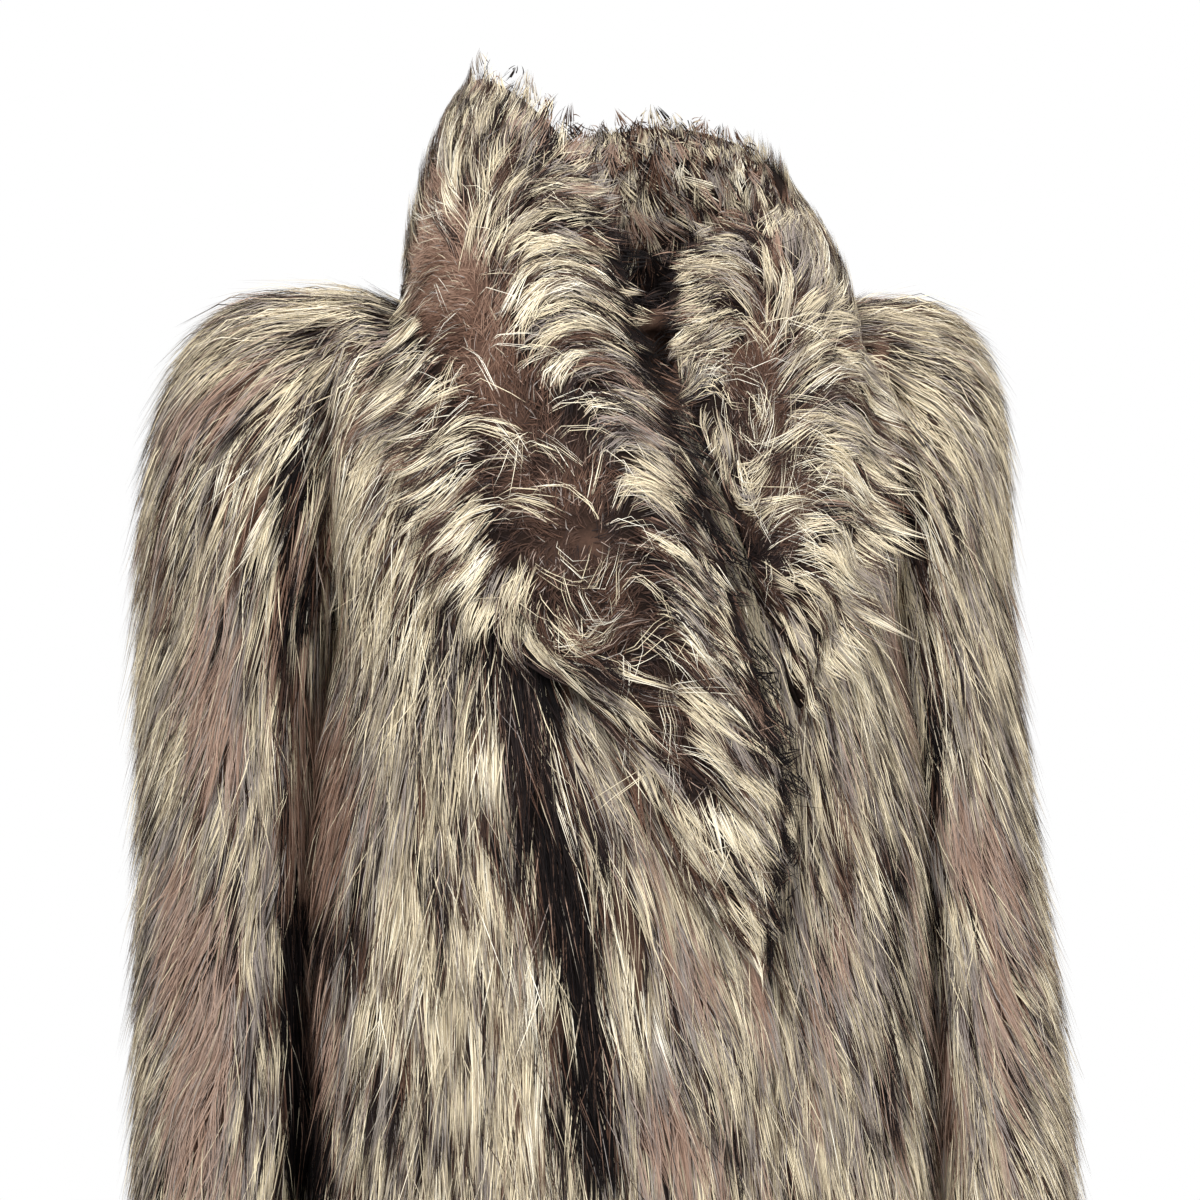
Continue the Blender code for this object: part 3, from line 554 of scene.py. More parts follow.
def lock_paths(place, a, b, length, flow, swing):
    """Where a lock of this length lies: from its root it follows the nap step by step, its own swing aside.

    At each step the flow's direction is laid on the surface and split over the surface's own two slopes.
    """
    grid = place["high"]
    wrapped = place["wrapped"]
    path_a = [a]
    path_b = [b]
    for _ in range(PATH_STEPS):
        along, across = slopes(grid, a, b, wrapped)
        ahead = unit(along)
        beside = unit(across - ahead * (across * ahead).sum(axis=-1, keepdims=True))
        way = flow(at(grid, a, b, wrapped))
        turned = (np.arctan2((way * beside).sum(axis=-1), (way * ahead).sum(axis=-1)) + swing)[:, None]
        heading = (ahead * np.cos(turned) + beside * np.sin(turned)) * (length / PATH_STEPS)[:, None]
        aa = (along * along).sum(axis=-1)
        ab = (along * across).sum(axis=-1)
        bb = (across * across).sum(axis=-1)
        wide = (heading * across).sum(axis=-1)
        far = (heading * along).sum(axis=-1)
        whole = np.maximum(aa * bb - ab * ab, TINY)
        a = a + (far * bb - wide * ab) / whole
        b = b + (wide * aa - far * ab) / whole
        path_a.append(a)
        path_b.append(b)
    return np.stack(path_a, axis=1), np.stack(path_b, axis=1)


def along_path(path, t):
    """The values of each row of a path at its fractions t."""
    last = path.shape[1] - 1
    spot = np.clip(t * last, 0, last)
    low = np.minimum(spot.astype(int), last - 1)
    part = spot - low
    rows = np.arange(len(path))[:, None]
    return path[rows, low] * (1 - part) + path[rows, low + 1] * part


def locks_of_hair(place, count, style, random):
    """Hairs rooted round the middle of each lock, that close in on the lock's path towards their tips.

    A hair rises in the wall from its root to its tip. Its tone is its lock's, and a little of its own.
    """
    grid = place["high"]
    wrapped = place["wrapped"]
    in_lock = style["in_lock"]
    locks = count // in_lock
    a, b = seeds(place, locks, style["density"], random)
    length = style["length"] * style["shorter"](a, b) * random.uniform(*LENGTHS, locks)
    swing = random.normal(0, style["swing"], locks)
    path_a, path_b = lock_paths(place, a, b, length, style["flow"], swing)
    along, across = slopes(grid, a, b, wrapped)
    cell_a = np.linalg.norm(along, axis=-1)
    cell_b = np.linalg.norm(across, axis=-1)

    lock = np.repeat(np.arange(locks), in_lock)
    hairs = len(lock)
    t = np.linspace(0, 1, style["steps"] + 1)[None, :]
    reach = random.uniform(style["ragged"], 1.0, hairs)[:, None]
    closing = 1 - style["closing"] * random.uniform(*CLOSINGS, hairs)[:, None] * t**CLOSING_POWER
    off_a = random.normal(0, style["spread_along"], hairs) / cell_a[lock]
    off_b = random.normal(0, style["spread_across"], hairs) / cell_b[lock]
    at_a = along_path(path_a[lock], t * reach) + off_a[:, None] * closing
    at_b = along_path(path_b[lock], t * reach) + off_b[:, None] * closing
    root, top = style["rise"]
    uneven = style["uneven"]
    top = (top + random.normal(0, uneven, locks))[lock] + random.normal(0, uneven * OWN_SHARE, hairs)
    height = root + (np.minimum(top, style["most"])[:, None] - root) * (t * reach) ** style["bow"]
    height = height + style["arch"] * np.sin(np.pi * np.clip(t * reach, 0, 1))
    low = at(place["low"], at_a, at_b, wrapped)
    high = at(grid, at_a, at_b, wrapped)
    nodes = low + (high - low) * height[..., None]
    along, across = slopes(grid, at_a, at_b, wrapped)
    facing = surface_normal(along, across, place["turn"])
    seen_a = path_a[:, SEEN_STEP]
    seen_b = path_b[:, SEEN_STEP]
    tone = lock_tones(style["tone"](at(grid, seen_a, seen_b, wrapped), seen_a, seen_b), style, random)
    own = random.normal(0, style["mix"] * OWN_SHARE, hairs) * vivid(tone)[lock]
    tone = np.maximum(tone[lock] + own, np.where(tone >= GREY, GREY, 0)[lock])
    astray = random.random(hairs) < ASTRAY
    pull = PULL_LEAST + PULL_MORE * smoothstep(*PULL_FADE, tone)
    tone = np.where(astray, tone + (random.uniform(*ASTRAY_TONES, hairs) - tone) * pull, tone)
    width = style["width"] * random.uniform(*WIDTHS, hairs)
    run = np.linalg.norm(np.diff(nodes, axis=1), axis=-1).sum(axis=1)
    kept = run < LONGEST * length[lock] + LONGEST_RISE
    tone = np.clip(tone, *TONE_LIMITS)
    return {"nodes": nodes[kept], "facing": facing[kept], "tone": tone[kept], "width": width[kept]}


def vivid(tone):
    """How much tones are mixed: fully in grey and gold fur, little in soft mauve and dark fur."""
    return rising(MUTED, VIVID_FADE, tone)


def lock_tones(tone, style, random):
    """The tone of each lock: that of its place, mixed with a share of dark locks and one of cream locks,
    which also carry the painted highlight of the hair's sheen.
    """
    locks = len(tone)
    mixed = vivid(tone)
    draw = random.random(locks)
    dark = draw < style["dark_share"] * mixed
    light = rising(CREAM_LEAST, CREAM_FADE, tone) * smoothstep(*NO_CREAM_FADE, tone)
    cream = draw > 1 - style["light_share"] * light
    grey = np.where(tone > GREY - GREY_MARGIN, GREY, 0)
    tone = np.maximum(tone + random.normal(0, style["mix"], locks) * mixed, grey)
    tone = np.where(dark, tone * DARK_LOCK, tone)
    return np.where(cream, tone + (CREAM_AND_SHEEN - tone) * LIGHT_LOCK, tone)


def ribbons(name, groups, material, random):
    """One mesh of flat tapered hairs. Each is a strip along its nodes, rolled a little about its own line.

    The shading normals lean from the hair's own face towards the skin's, and outwards at its two edges, as on
    a thread.
    """
    nodes = np.concatenate([group["nodes"] for group in groups])
    facing = np.concatenate([group["facing"] for group in groups])
    tone = np.concatenate([group["tone"] for group in groups])
    width = np.concatenate([group["width"] for group in groups])
    hairs, steps = nodes.shape[0], nodes.shape[1] - 1
    heading = np.empty_like(nodes)
    heading[:, 1:-1] = nodes[:, 2:] - nodes[:, :-2]
    heading[:, 0] = nodes[:, 1] - nodes[:, 0]
    heading[:, -1] = nodes[:, -1] - nodes[:, -2]
    heading = unit(heading)
    beside = unit(np.cross(heading, facing))
    above = np.cross(beside, heading)
    roll = random.normal(0, ROLL, hairs)[:, None, None]
    edge = beside * np.cos(roll) + above * np.sin(roll)
    face = above * np.cos(roll) - beside * np.sin(roll)
    rungs = np.arange(steps) / steps
    taper = (1 - rungs**TAPER_POWER)[None, :, None] * width[:, None, None] / 2
    left = nodes[:, :-1] - edge[:, :-1] * taper
    right = nodes[:, :-1] + edge[:, :-1] * taper
    pairs = np.stack([left, right], axis=2).reshape(hairs, -1, 3)
    points = np.concatenate([pairs, nodes[:, -1:]], axis=1)
    soft = unit(face + facing * SKIN_SHADE)
    lean = edge[:, :-1] * EDGE_SHADE
    sides = np.stack([soft[:, :-1] - lean, soft[:, :-1] + lean], axis=2).reshape(hairs, -1, 3)
    normals = unit(np.concatenate([sides, soft[:, -1:]], axis=1))

    each = 2 * steps + 1
    quad = np.array([[0, 1, 3, 2]])
    cells = (quad + 2 * np.arange(steps - 1)[:, None]).ravel()
    tip = np.array([each - 3, each - 2, each - 1])
    corners = np.concatenate([cells, tip])
    sizes = np.array([4] * (steps - 1) + [3])
    loops = (corners[None, :] + each * np.arange(hairs)[:, None]).ravel()
    totals = np.tile(sizes, hairs)
    starts = np.concatenate([[0], np.cumsum(totals)[:-1]])
    up = np.concatenate([np.repeat(rungs, 2), [1.0]])
    aside = np.concatenate([np.tile([-TONE_WIDTH, TONE_WIDTH], steps), [0.0]])
    u = np.clip(tone[:, None] + aside[None, :], MAP_INSET, 1 - MAP_INSET).ravel()
    v = np.tile(2 * MAP_INSET + (1 - 4 * MAP_INSET) * up, hairs)
    mesh = bpy.data.meshes.new(name)
    mesh.vertices.add(hairs * each)
    mesh.vertices.foreach_set("co", points.reshape(-1).astype(np.float32))
    mesh.loops.add(len(loops))
    mesh.loops.foreach_set("vertex_index", loops.astype(np.int32))
    mesh.polygons.add(len(totals))
    mesh.polygons.foreach_set("loop_start", starts.astype(np.int32))
    layer = mesh.uv_layers.new(name=TONE_MAP)
    layer.data.foreach_set("uv", np.stack([u, v], axis=1)[loops].reshape(-1).astype(np.float32))
    mesh.update(calc_edges=True)
    mesh.polygons.foreach_set("use_smooth", np.ones(len(totals), bool))
    mesh.normals_split_custom_set_from_vertices(normals.reshape(-1, 3).astype(np.float32))
    mesh.materials.append(material)
    thing = bpy.data.objects.new(name, mesh)
    bpy.context.scene.collection.objects.link(thing)
    return thing


def pelt(name, place, material, tones):
    """A closed shell: the leather's grid inside, the top of the underfur outside, and a rim between them."""
    low = place["low"]
    high = place["high"]
    span = high - low
    depth = np.linalg.norm(span, axis=-1, keepdims=True)
    top = low + unit(span) * np.maximum(depth * UNDERFUR, LEAST_PELT)
    rows, columns = low.shape[:2]
    count = rows * columns
    number = np.arange(count).reshape(rows, columns)
    face = quads(rows, columns, place["wrapped"])[:, :: place["turn"]]
    if place["wrapped"]:
        rims = [np.append(number[0], number[0, 0]), np.append(number[-1], number[-1, 0])[::-1]]
    else:
        rims = [np.concatenate([number[0], number[1:, -1], number[-1, -2::-1], number[-2::-1, 0]])]
    faces = [face[:, ::-1], face + count]
    for rim in rims:
        a = rim[:-1]
        b = rim[1:]
        faces.append(np.stack([a, b, b + count, a + count], axis=1)[:, :: place["turn"]])
    faces = np.concatenate(faces)
    points = np.concatenate([low.reshape(-1, 3), top.reshape(-1, 3)])
    mesh = bpy.data.meshes.new(name)
    mesh.from_pydata(points.tolist(), [], faces.tolist())
    mesh.polygons.foreach_set("use_smooth", np.ones(len(faces), bool))
    tone = mesh.attributes.new("tone", "FLOAT", "POINT")
    tone.data.foreach_set("value", np.concatenate([tones, tones]).astype(np.float32))
    mesh.materials.append(material)
    thing = bpy.data.objects.new(name, mesh)
    bpy.context.scene.collection.objects.link(thing)
    return thing


class Value:
    """A shader socket that takes part in sums the way a number does."""

    def __init__(self, tree, socket):
        self.tree = tree
        self.socket = socket

    def math(self, operation, first, second):
        return Nodes(self.tree).node("Math", {"operation": operation}, {0: first, 1: second})

    def __add__(self, other):
        return self.math("ADD", self, other)

    def __radd__(self, other):
        return self.math("ADD", other, self)

    def __sub__(self, other):
        return self.math("SUBTRACT", self, other)

    def __rsub__(self, other):
        return self.math("SUBTRACT", other, self)

    def __mul__(self, other):
        return self.math("MULTIPLY", self, other)

    def __rmul__(self, other):
        return self.math("MULTIPLY", other, self)


class Nodes:
    """A tree of shader nodes. node() adds one by its type, with settings first and then socket values."""

    def __init__(self, tree):
        self.tree = tree

    def node(self, kind, settings=None, values=None, output=0):
        made = self.tree.nodes.new("ShaderNode" + kind)
        for key, setting in (settings or {}).items():
            if key == "stops":
                set_stops(made.color_ramp, setting)
            else:
                setattr(made, key, setting)
        for key, value in (values or {}).items():
            self.put(made.inputs[key], value)
        return Value(self.tree, made.outputs[output])

    def put(self, socket, value):
        if isinstance(value, Value):
            self.tree.links.new(value.socket, socket)
        else:
            socket.default_value = value


class Finish(Nodes):
    """A material under construction, whose colours and numbers go to its one shader."""

    def __init__(self, name):
        self.material = bpy.data.materials.new(name)
        self.material.use_nodes = True
        super().__init__(self.material.node_tree)
        self.shader = self.tree.nodes["Principled BSDF"]

    def give(self, key, value):
        self.put(self.shader.inputs[key], value)

    def ramp(self, at, stops):
        return self.node("ValToRGB", {"stops": stops}, {"Fac": at})

    def blend(self, factor, first, second):
        """A colour from the first to the second. A Mix node's colour sockets are told apart by number."""
        return self.node("Mix", {"data_type": "RGBA"}, {"Factor": factor, 6: first, 7: second}, output=2)

    def rise(self, value, low, high):
        """0 below low, 1 above high, and smooth between them."""
        return self.node(
            "MapRange",
            {"interpolation_type": "SMOOTHSTEP"},
            {"Value": value, "From Min": low, "From Max": high},
        )


def linear(colour):
    """A colour read off a screen, as 0 to 255, in linear light, by the sRGB curve."""
    part = np.asarray(colour, float) / 255
    return np.where(part <= 0.04045, part / 12.92, ((part + 0.055) / 1.055) ** 2.4).tolist()


def set_stops(band, stops):
    """Give a colour ramp its stops, each a place from 0 to 1 and then red, green and blue."""
    while len(band.elements) < len(stops):
        band.elements.new(0.5)
    for element, (place, *colour) in zip(band.elements, stops):
        element.position = place
        element.color = (*linear(colour), 1)


# Looks
TONE_MAP = "OFBake"
TONE_WIDTH = 1 / 400
ROLL = 0.45
SKIN_SHADE = 0.9
EDGE_SHADE = 0.45
DARK_LOCK = 0.22  # a dark lock has this part of the tone round it
# Cream locks are the fur's own cream and also painted highlight, standing in for the hair's white sheen.
LIGHT_LOCK = 0.62  # a cream lock goes this part of the way to cream
CREAM_AND_SHEEN = 0.90
ASTRAY = 0.09  # this share of single hairs has a tone of its own
ASTRAY_TONES = (0.42, 0.80)
GREY = 0.43  # mixed tones of grey fur stay over this, clear of mauve
GREY_MARGIN = 0.05
MUTED = 0.25
VIVID_FADE = (0.34, 0.46)
CREAM_LEAST = 0.12  # the share of cream locks that mauve fur keeps
CREAM_FADE = (0.33, 0.44)
NO_CREAM_FADE = (0.02, 0.16)
PULL_LEAST = 0.30  # how far a single hair goes to its own tone in dark fur
PULL_MORE = 0.50  # how much further it goes elsewhere
PULL_FADE = (0.05, 0.30)
TONE_LIMITS = (0.01, 0.99)
MAP_INSET = 0.001

# The tone of a hair runs from 0, black, over mauve brown, grey and gold, to 1, bright cream. For each tone,
# its colour at the root, along the middle and at the tip: the tone, then red, green and blue. The bright
# cream of the upper tones is the fur's own cream and also painted highlight, standing in for the hair's white
# sheen.
ROOT = (
    (0.00, 5, 4, 5), (0.13, 24, 18, 17), (0.21, 84, 60, 48), (0.31, 128, 99, 84), (0.46, 64, 56, 54),
    (0.63, 80, 66, 56), (0.81, 120, 100, 84), (1.00, 170, 148, 124),
)
MIDDLE = (
    (0.00, 9, 8, 9), (0.13, 42, 34, 33), (0.21, 104, 77, 63), (0.31, 172, 144, 126), (0.46, 148, 141, 137),
    (0.63, 194, 180, 154), (0.81, 236, 222, 190), (1.00, 250, 244, 228),
)
TIP = (
    (0.00, 6, 5, 6), (0.13, 16, 13, 14), (0.21, 98, 73, 59), (0.31, 164, 134, 117), (0.46, 50, 44, 46),
    (0.63, 64, 52, 46), (0.81, 128, 108, 86), (1.00, 238, 230, 208),
)

# Strokes of tone down the pelts. Most are the fur's own pattern of dark stripes, mauve patches and cream. The
# near-black ones about 0.20 to 0.23 out on each side, down where the sleeve meets the body, and the dark ones
# just beside the collar's outer edges at the shoulders, are painted shade in those creases. A row has the
# place out and height where a stroke starts, the two where it ends, how far it reaches to its sides, its tone
# and how strong it is.
FRONT_STROKES = in_metres(5, (
    (-260, -58, -305, -94, 20, 0.3, 0.88), (-221, -107, -225, -220, 12, 0.04, 0.95),
    (-224, -220, -218, -326, 15, 0.03, 0.97), (-218, -326, -212, -591, 17, 0.02, 0.98),
    (-212, -160, -204, -360, 11, 0.03, 0.95), (-326, -168, -310, -214, 8, 0.2, 0.6),
    (-274, -206, -284, -246, 15, 0.3, 0.92), (-291, -263, -275, -315, 22, 0.31, 0.95),
    (-311, -361, -318, -396, 14, 0.31, 0.7), (-292, -425, -304, -466, 28, 0.32, 0.95),
    (-270, -457, -289, -517, 26, 0.33, 0.92), (-293, -543, -294, -582, 26, 0.32, 0.92),
    (-246, -193, -251, -581, 10, 0.47, 0.7), (-166, 8, -157, -34, 14, 0.08, 0.85),
    (-217, -67, -238, -114, 6, 0.14, 0.6), (-188, -61, -217, -140, 8, 0.18, 0.55),
    (-154, -81, -197, -167, 19, 0.8, 0.8), (-144, -165, -188, -251, 22, 0.77, 0.75),
    (-139, -107, -149, -191, 4, 0.1, 0.85), (-123, -190, -146, -254, 5, 0.12, 0.75),
    (-165, -192, -158, -223, 4, 0.18, 0.6), (-200, -278, -209, -389, 22, 0.4, 0.6),
    (-159, -293, -147, -356, 25, 0.46, 0.5), (-95, -198, -90, -253, 18, 0.02, 0.97),
    (-69, -216, -68, -266, 12, 0.02, 0.97), (-85, -266, -70, -354, 16, 0.09, 0.88),
    (-67, -354, -46, -449, 17, 0.05, 0.93), (-43, -449, -37, -564, 14, 0.03, 0.96),
    (-191, -404, -182, -448, 9, 0.14, 0.7), (-99, -367, -85, -418, 7, 0.14, 0.6),
    (-132, -330, -99, -431, 12, 0.78, 0.7), (-154, -420, -149, -510, 16, 0.76, 0.7),
    (-202, -451, -195, -566, 10, 0.66, 0.6), (-111, -469, -88, -558, 12, 0.76, 0.7),
    (-173, -505, -162, -561, 6, 0.13, 0.65), (-72, -507, -63, -557, 6, 0.08, 0.8),
    (-46, -217, 0, -313, 9, 0.76, 0.8), (4, -313, 9, -370, 9, 0.24, 0.75),
    (24, -370, 53, -422, 12, 0.8, 0.8), (15, -433, 42, -492, 15, 0.31, 0.75),
    (1, -517, 27, -567, 22, 0.31, 0.8), (-23, -418, -12, -494, 10, 0.74, 0.6),
    (100, -193, 101, -388, 32, 0.47, 0.7), (192, -104, 211, -176, 12, 0.06, 0.88),
    (215, -176, 223, -232, 9, 0.13, 0.7), (203, -44, 253, -100, 32, 0.54, 0.7),
    (179, -6, 185, -13, 8, 0.1, 0.7), (157, -59, 147, -90, 5, 0.08, 0.8),
    (221, -267, 210, -598, 5, 0.03, 0.92), (179, -381, 172, -559, 8, 0.08, 0.8),
    (95, -349, 87, -427, 8, 0.13, 0.65), (133, -324, 135, -409, 6, 0.18, 0.55),
    (135, -429, 124, -501, 10, 0.32, 0.7), (245, -198, 256, -309, 16, 0.47, 0.6),
    (247, -378, 266, -410, 26, 0.32, 0.97), (264, -476, 271, -518, 20, 0.32, 0.92),
    (250, -537, 254, -599, 14, 0.31, 0.6), (232, -128, 238, -170, 7, 0.14, 0.6),
    (117, -258, 110, -323, 5, 0.16, 0.6),
))
# The near-black strokes 212 mm out on each side are painted shade in the crease beside each sleeve.
BACK_STROKES = in_metres(5, (
    (0, -50, 0, -900, 18, 0.06, 0.85), (-110, -150, -120, -900, 16, 0.1, 0.8),
    (110, -150, 120, -900, 16, 0.1, 0.8), (-60, -60, -60, -900, 26, 0.7, 0.7),
    (60, -60, 60, -900, 26, 0.7, 0.7), (-160, -200, -165, -900, 24, 0.34, 0.6),
    (160, -200, 165, -900, 24, 0.34, 0.6), (-212, -130, -212, -600, 22, 0.03, 0.97),
    (212, -130, 212, -600, 22, 0.03, 0.97), (-292, -250, -300, -600, 18, 0.33, 0.8),
    (280, -250, 300, -600, 18, 0.33, 0.8),
))
BODY_TONE = 0.58
GREYER = 0.09  # the left side of the coat is greyer by this
STROKE_EDGE = 1.30
STROKE_POWER = 4  # how sharply a stroke ends at its sides
WAVES = 26
WAVE_SPREAD = 1.7
DRAW_SEED = 31
GREYER_FADE = (-0.02, 0.10)
FACING_FADE = (-0.045, 0.0)
DRIFTS = ((0.10, 3, 0.045, 3.0), (0.06, 4, 0.016, 3.0))  # strength, seed, size and stretch
DARK = 0.22  # strokes darker than this are mixed in by whole locks


def drifting(points, seed, size, stretch):
    """A field that drifts between about -1 and 1: a sum of waves of about this size, longer down the coat."""
    random = np.random.default_rng(seed)
    field = np.zeros(len(points))
    for _ in range(WAVES):
        wave = random.normal(0, 1, 3) * (1, 1, 1 / stretch)
        field += np.cos(points @ wave * (2 * np.pi / size / WAVE_SPREAD) + random.uniform(0, 2 * np.pi))
    return field * (2 / WAVES) ** 0.5


def drifted(tone, points, drift):
    strength, *wave = drift
    return tone + strength * drifting(points, *wave)


def darkened(tone, dark, weight, draw):
    """The tone, or a dark one where the draw falls under the weight: grey and dark fur, and painted shade in
    creases, mix by whole locks.
    """
    return np.where(draw < weight, dark, tone)


def draws(points, a):
    """A number from 0 to 1 for each lock, and one half all over a pelt's ground, which has no a."""
    if a is None:
        return np.full(len(points), 0.5)
    return np.random.default_rng(DRAW_SEED).random(len(points))


def stroked(points, base, draw):
    """The tone of the fur at these points, drawn towards each stroke's own tone near it; the near-black
    strokes in the creases paint shade.
    """
    tone = base - GREYER * smoothstep(*GREYER_FADE, points[:, 0])
    for drift in DRIFTS:
        tone = drifted(tone, points, drift)
    for strokes, facing in ((FRONT_STROKES, -1), (BACK_STROKES, 1)):
        there = smoothstep(*FACING_FADE, points[:, 1] * facing)
        for *line, reach, own, strength in strokes:
            distance, _ = from_line(points, *line)
            weight = strength * np.exp(-((distance / reach / STROKE_EDGE) ** STROKE_POWER)) * there
            if own < DARK:
                tone = darkened(tone, own, weight, draw)
            else:
                tone = tone + (own - tone) * weight
    return tone


def body_tone(points, a, b):
    return stroked(points, BODY_TONE, draws(points, a))


LEAST_HAIR = 0.10  # where the wall is pressed flat
DEEP_WALL = (0.002, 0.013)
LOW_DOWN = 0.72
LOW_FADE = (-0.66, -0.58)
BEHIND = 0.60
BEHIND_FADE = (0.02, -0.03)


def wall_density(place):
    """More hair where the wall is deep than where it is pressed flat, and less low down and behind."""
    depth = np.linalg.norm(place["high"] - place["low"], axis=-1)

    def density(a, b):
        rows = len(depth) - 1
        here = at(depth[..., None], np.clip(a, 0, rows), b, place["wrapped"])[..., 0]
        spot = at(place["low"], np.clip(a, 0, rows), b, place["wrapped"])
        thick = (LEAST_HAIR + smoothstep(*DEEP_WALL, here)) * rising(LOW_DOWN, LOW_FADE, spot[:, 2])
        return thick if place["name"] == "back" else thick * rising(BEHIND, BEHIND_FADE, spot[:, 1])

    return density


def nap(arrows, blend, behind=None, turn=None):
    """The way the hair runs, drawn from arrows: each has a place on the front view and a heading in degrees.

    At a point it is the mean of all arrows, each weighted by the inverse fourth power of its distance. Where
    the coat turns to the back, it goes over to the arrows for behind.
    """

    def drawn(table, points):
        heading = np.radians(table[:, 2])
        way = np.stack([np.cos(heading), np.zeros(len(table)), np.sin(heading)], axis=1)
        off = points[:, None, [0, 2]] - table[None, :, :2]
        return unit((1 / ((off**2).sum(axis=-1) + blend**2) ** 2) @ way)

    def flow(points):
        front = drawn(np.array(arrows, float), points)
        if behind is None:
            return front
        share = smoothstep(*turn, points[:, 1])[:, None]
        return front * (1 - share) + drawn(np.array(behind, float), points) * share

    return flow


def everywhere(a, b):
    return np.ones(np.shape(a))


HEM_LENGTH = 0.48
HEM_FADE = (-0.930, -0.850)


def shorter_at_hem(place):
    """Hair rooted near the hem is short, so that it ends a little below the pelt."""
    rows = len(place["low"]) - 1

    def scale(a, b):
        height = at(place["low"], np.clip(a, 0, rows), b, place["wrapped"])[:, 2]
        return rising(HEM_LENGTH, HEM_FADE, height)

    return scale


def panel_style(place, **changes):
    """The hair of a front, a sleeve or the back.

    A lock has in_lock hairs rooted within the two spreads, that close in on it by closing and each stop short
    by up to 1 - ragged. Its height in the wall goes by rise from root to tip, on a bow and with an arch.
    """
    style = {
        "steps": 2, "in_lock": 15, "length": 0.086, "shorter": shorter_at_hem(place), "swing": 0.095,
        "closing": 0.60, "ragged": 0.70, "spread_along": 0.008, "spread_across": 0.0030,
        "rise": (0.40, 0.94), "uneven": 0.10, "most": 1.08, "bow": 0.75, "arch": 0.0, "mix": 0.11,
        "width": 0.00088, "tone": body_tone, "density": wall_density(place), "dark_share": 0.25,
        "light_share": 0.29,
    }
    style.update(changes)
    return style


# How the hair of the fronts and the sleeves runs: places on the front view, and headings in degrees.
BODY_NAP = in_metres(2, (
    (-214, 15, -172), (-248, 8, -160), (-175, 8, -160), (-281, -12, -145), (-305, -46, -128),
    (-249, -41, -140), (-250, -81, -128), (-196, -34, -138), (-192, -74, -125), (-218, -114, -118),
    (-283, -127, -112), (-323, -168, -100), (-264, -206, -104), (-303, -220, -118), (-317, -302, -122),
    (-291, -260, -110), (-252, -299, -88), (-285, -359, -105), (-318, -396, -125), (-312, -494, -125),
    (-247, -457, -88), (-268, -555, -95), (-166, -61, -128), (-174, -127, -112), (-144, -152, -103),
    (-186, -206, -100), (-158, -229, -98), (-212, -274, -100), (-196, -334, -95), (-147, -318, -88),
    (-109, -216, -97), (-84, -254, -88), (-56, -204, -72), (-37, -249, -66), (-14, -299, -64),
    (-10, -356, -75), (-36, -380, -85), (-74, -443, -86), (-5, -444, -85), (-129, -381, -80),
    (-179, -415, -95), (-204, -517, -97), (-130, -509, -88), (-63, -538, -86), (28, -478, -75),
    (43, -422, -68), (186, -10, -12), (217, -20, -25), (197, -59, -38), (165, -80, -42), (239, -59, -42),
    (253, -93, -58), (161, -127, -55), (213, -128, -52), (262, -142, -70), (189, -182, -60),
    (142, -194, -65), (230, -197, -70), (104, -232, -72), (90, -271, -84), (102, -323, -88),
    (145, -298, -80), (143, -377, -78), (70, -385, -92), (100, -427, -80), (142, -456, -76),
    (86, -518, -88), (173, -526, -86), (223, -267, -84), (270, -268, -78), (237, -336, -86),
    (267, -379, -72), (235, -475, -88), (280, -477, -62), (293, -561, -60), (229, -580, -88),
    (-200, -750, -93), (-50, -750, -89), (100, -750, -86), (220, -750, -86), (-200, -920, -92),
    (0, -920, -90), (200, -920, -88), (-300, -650, -100), (300, -650, -78),
))
BACK_NAP = in_metres(2, (
    (0, -30, -90), (80, -20, -60), (-80, -20, -120), (160, -20, -30), (-160, -20, -150), (240, -30, -40),
    (-240, -30, -140), (0, -200, -90), (120, -180, -80), (-120, -180, -100), (240, -180, -78),
    (-240, -180, -102), (0, -600, -90), (150, -600, -88), (-150, -600, -92), (280, -500, -84),
    (-280, -500, -96), (0, -900, -90), (200, -900, -88), (-200, -900, -92),
))
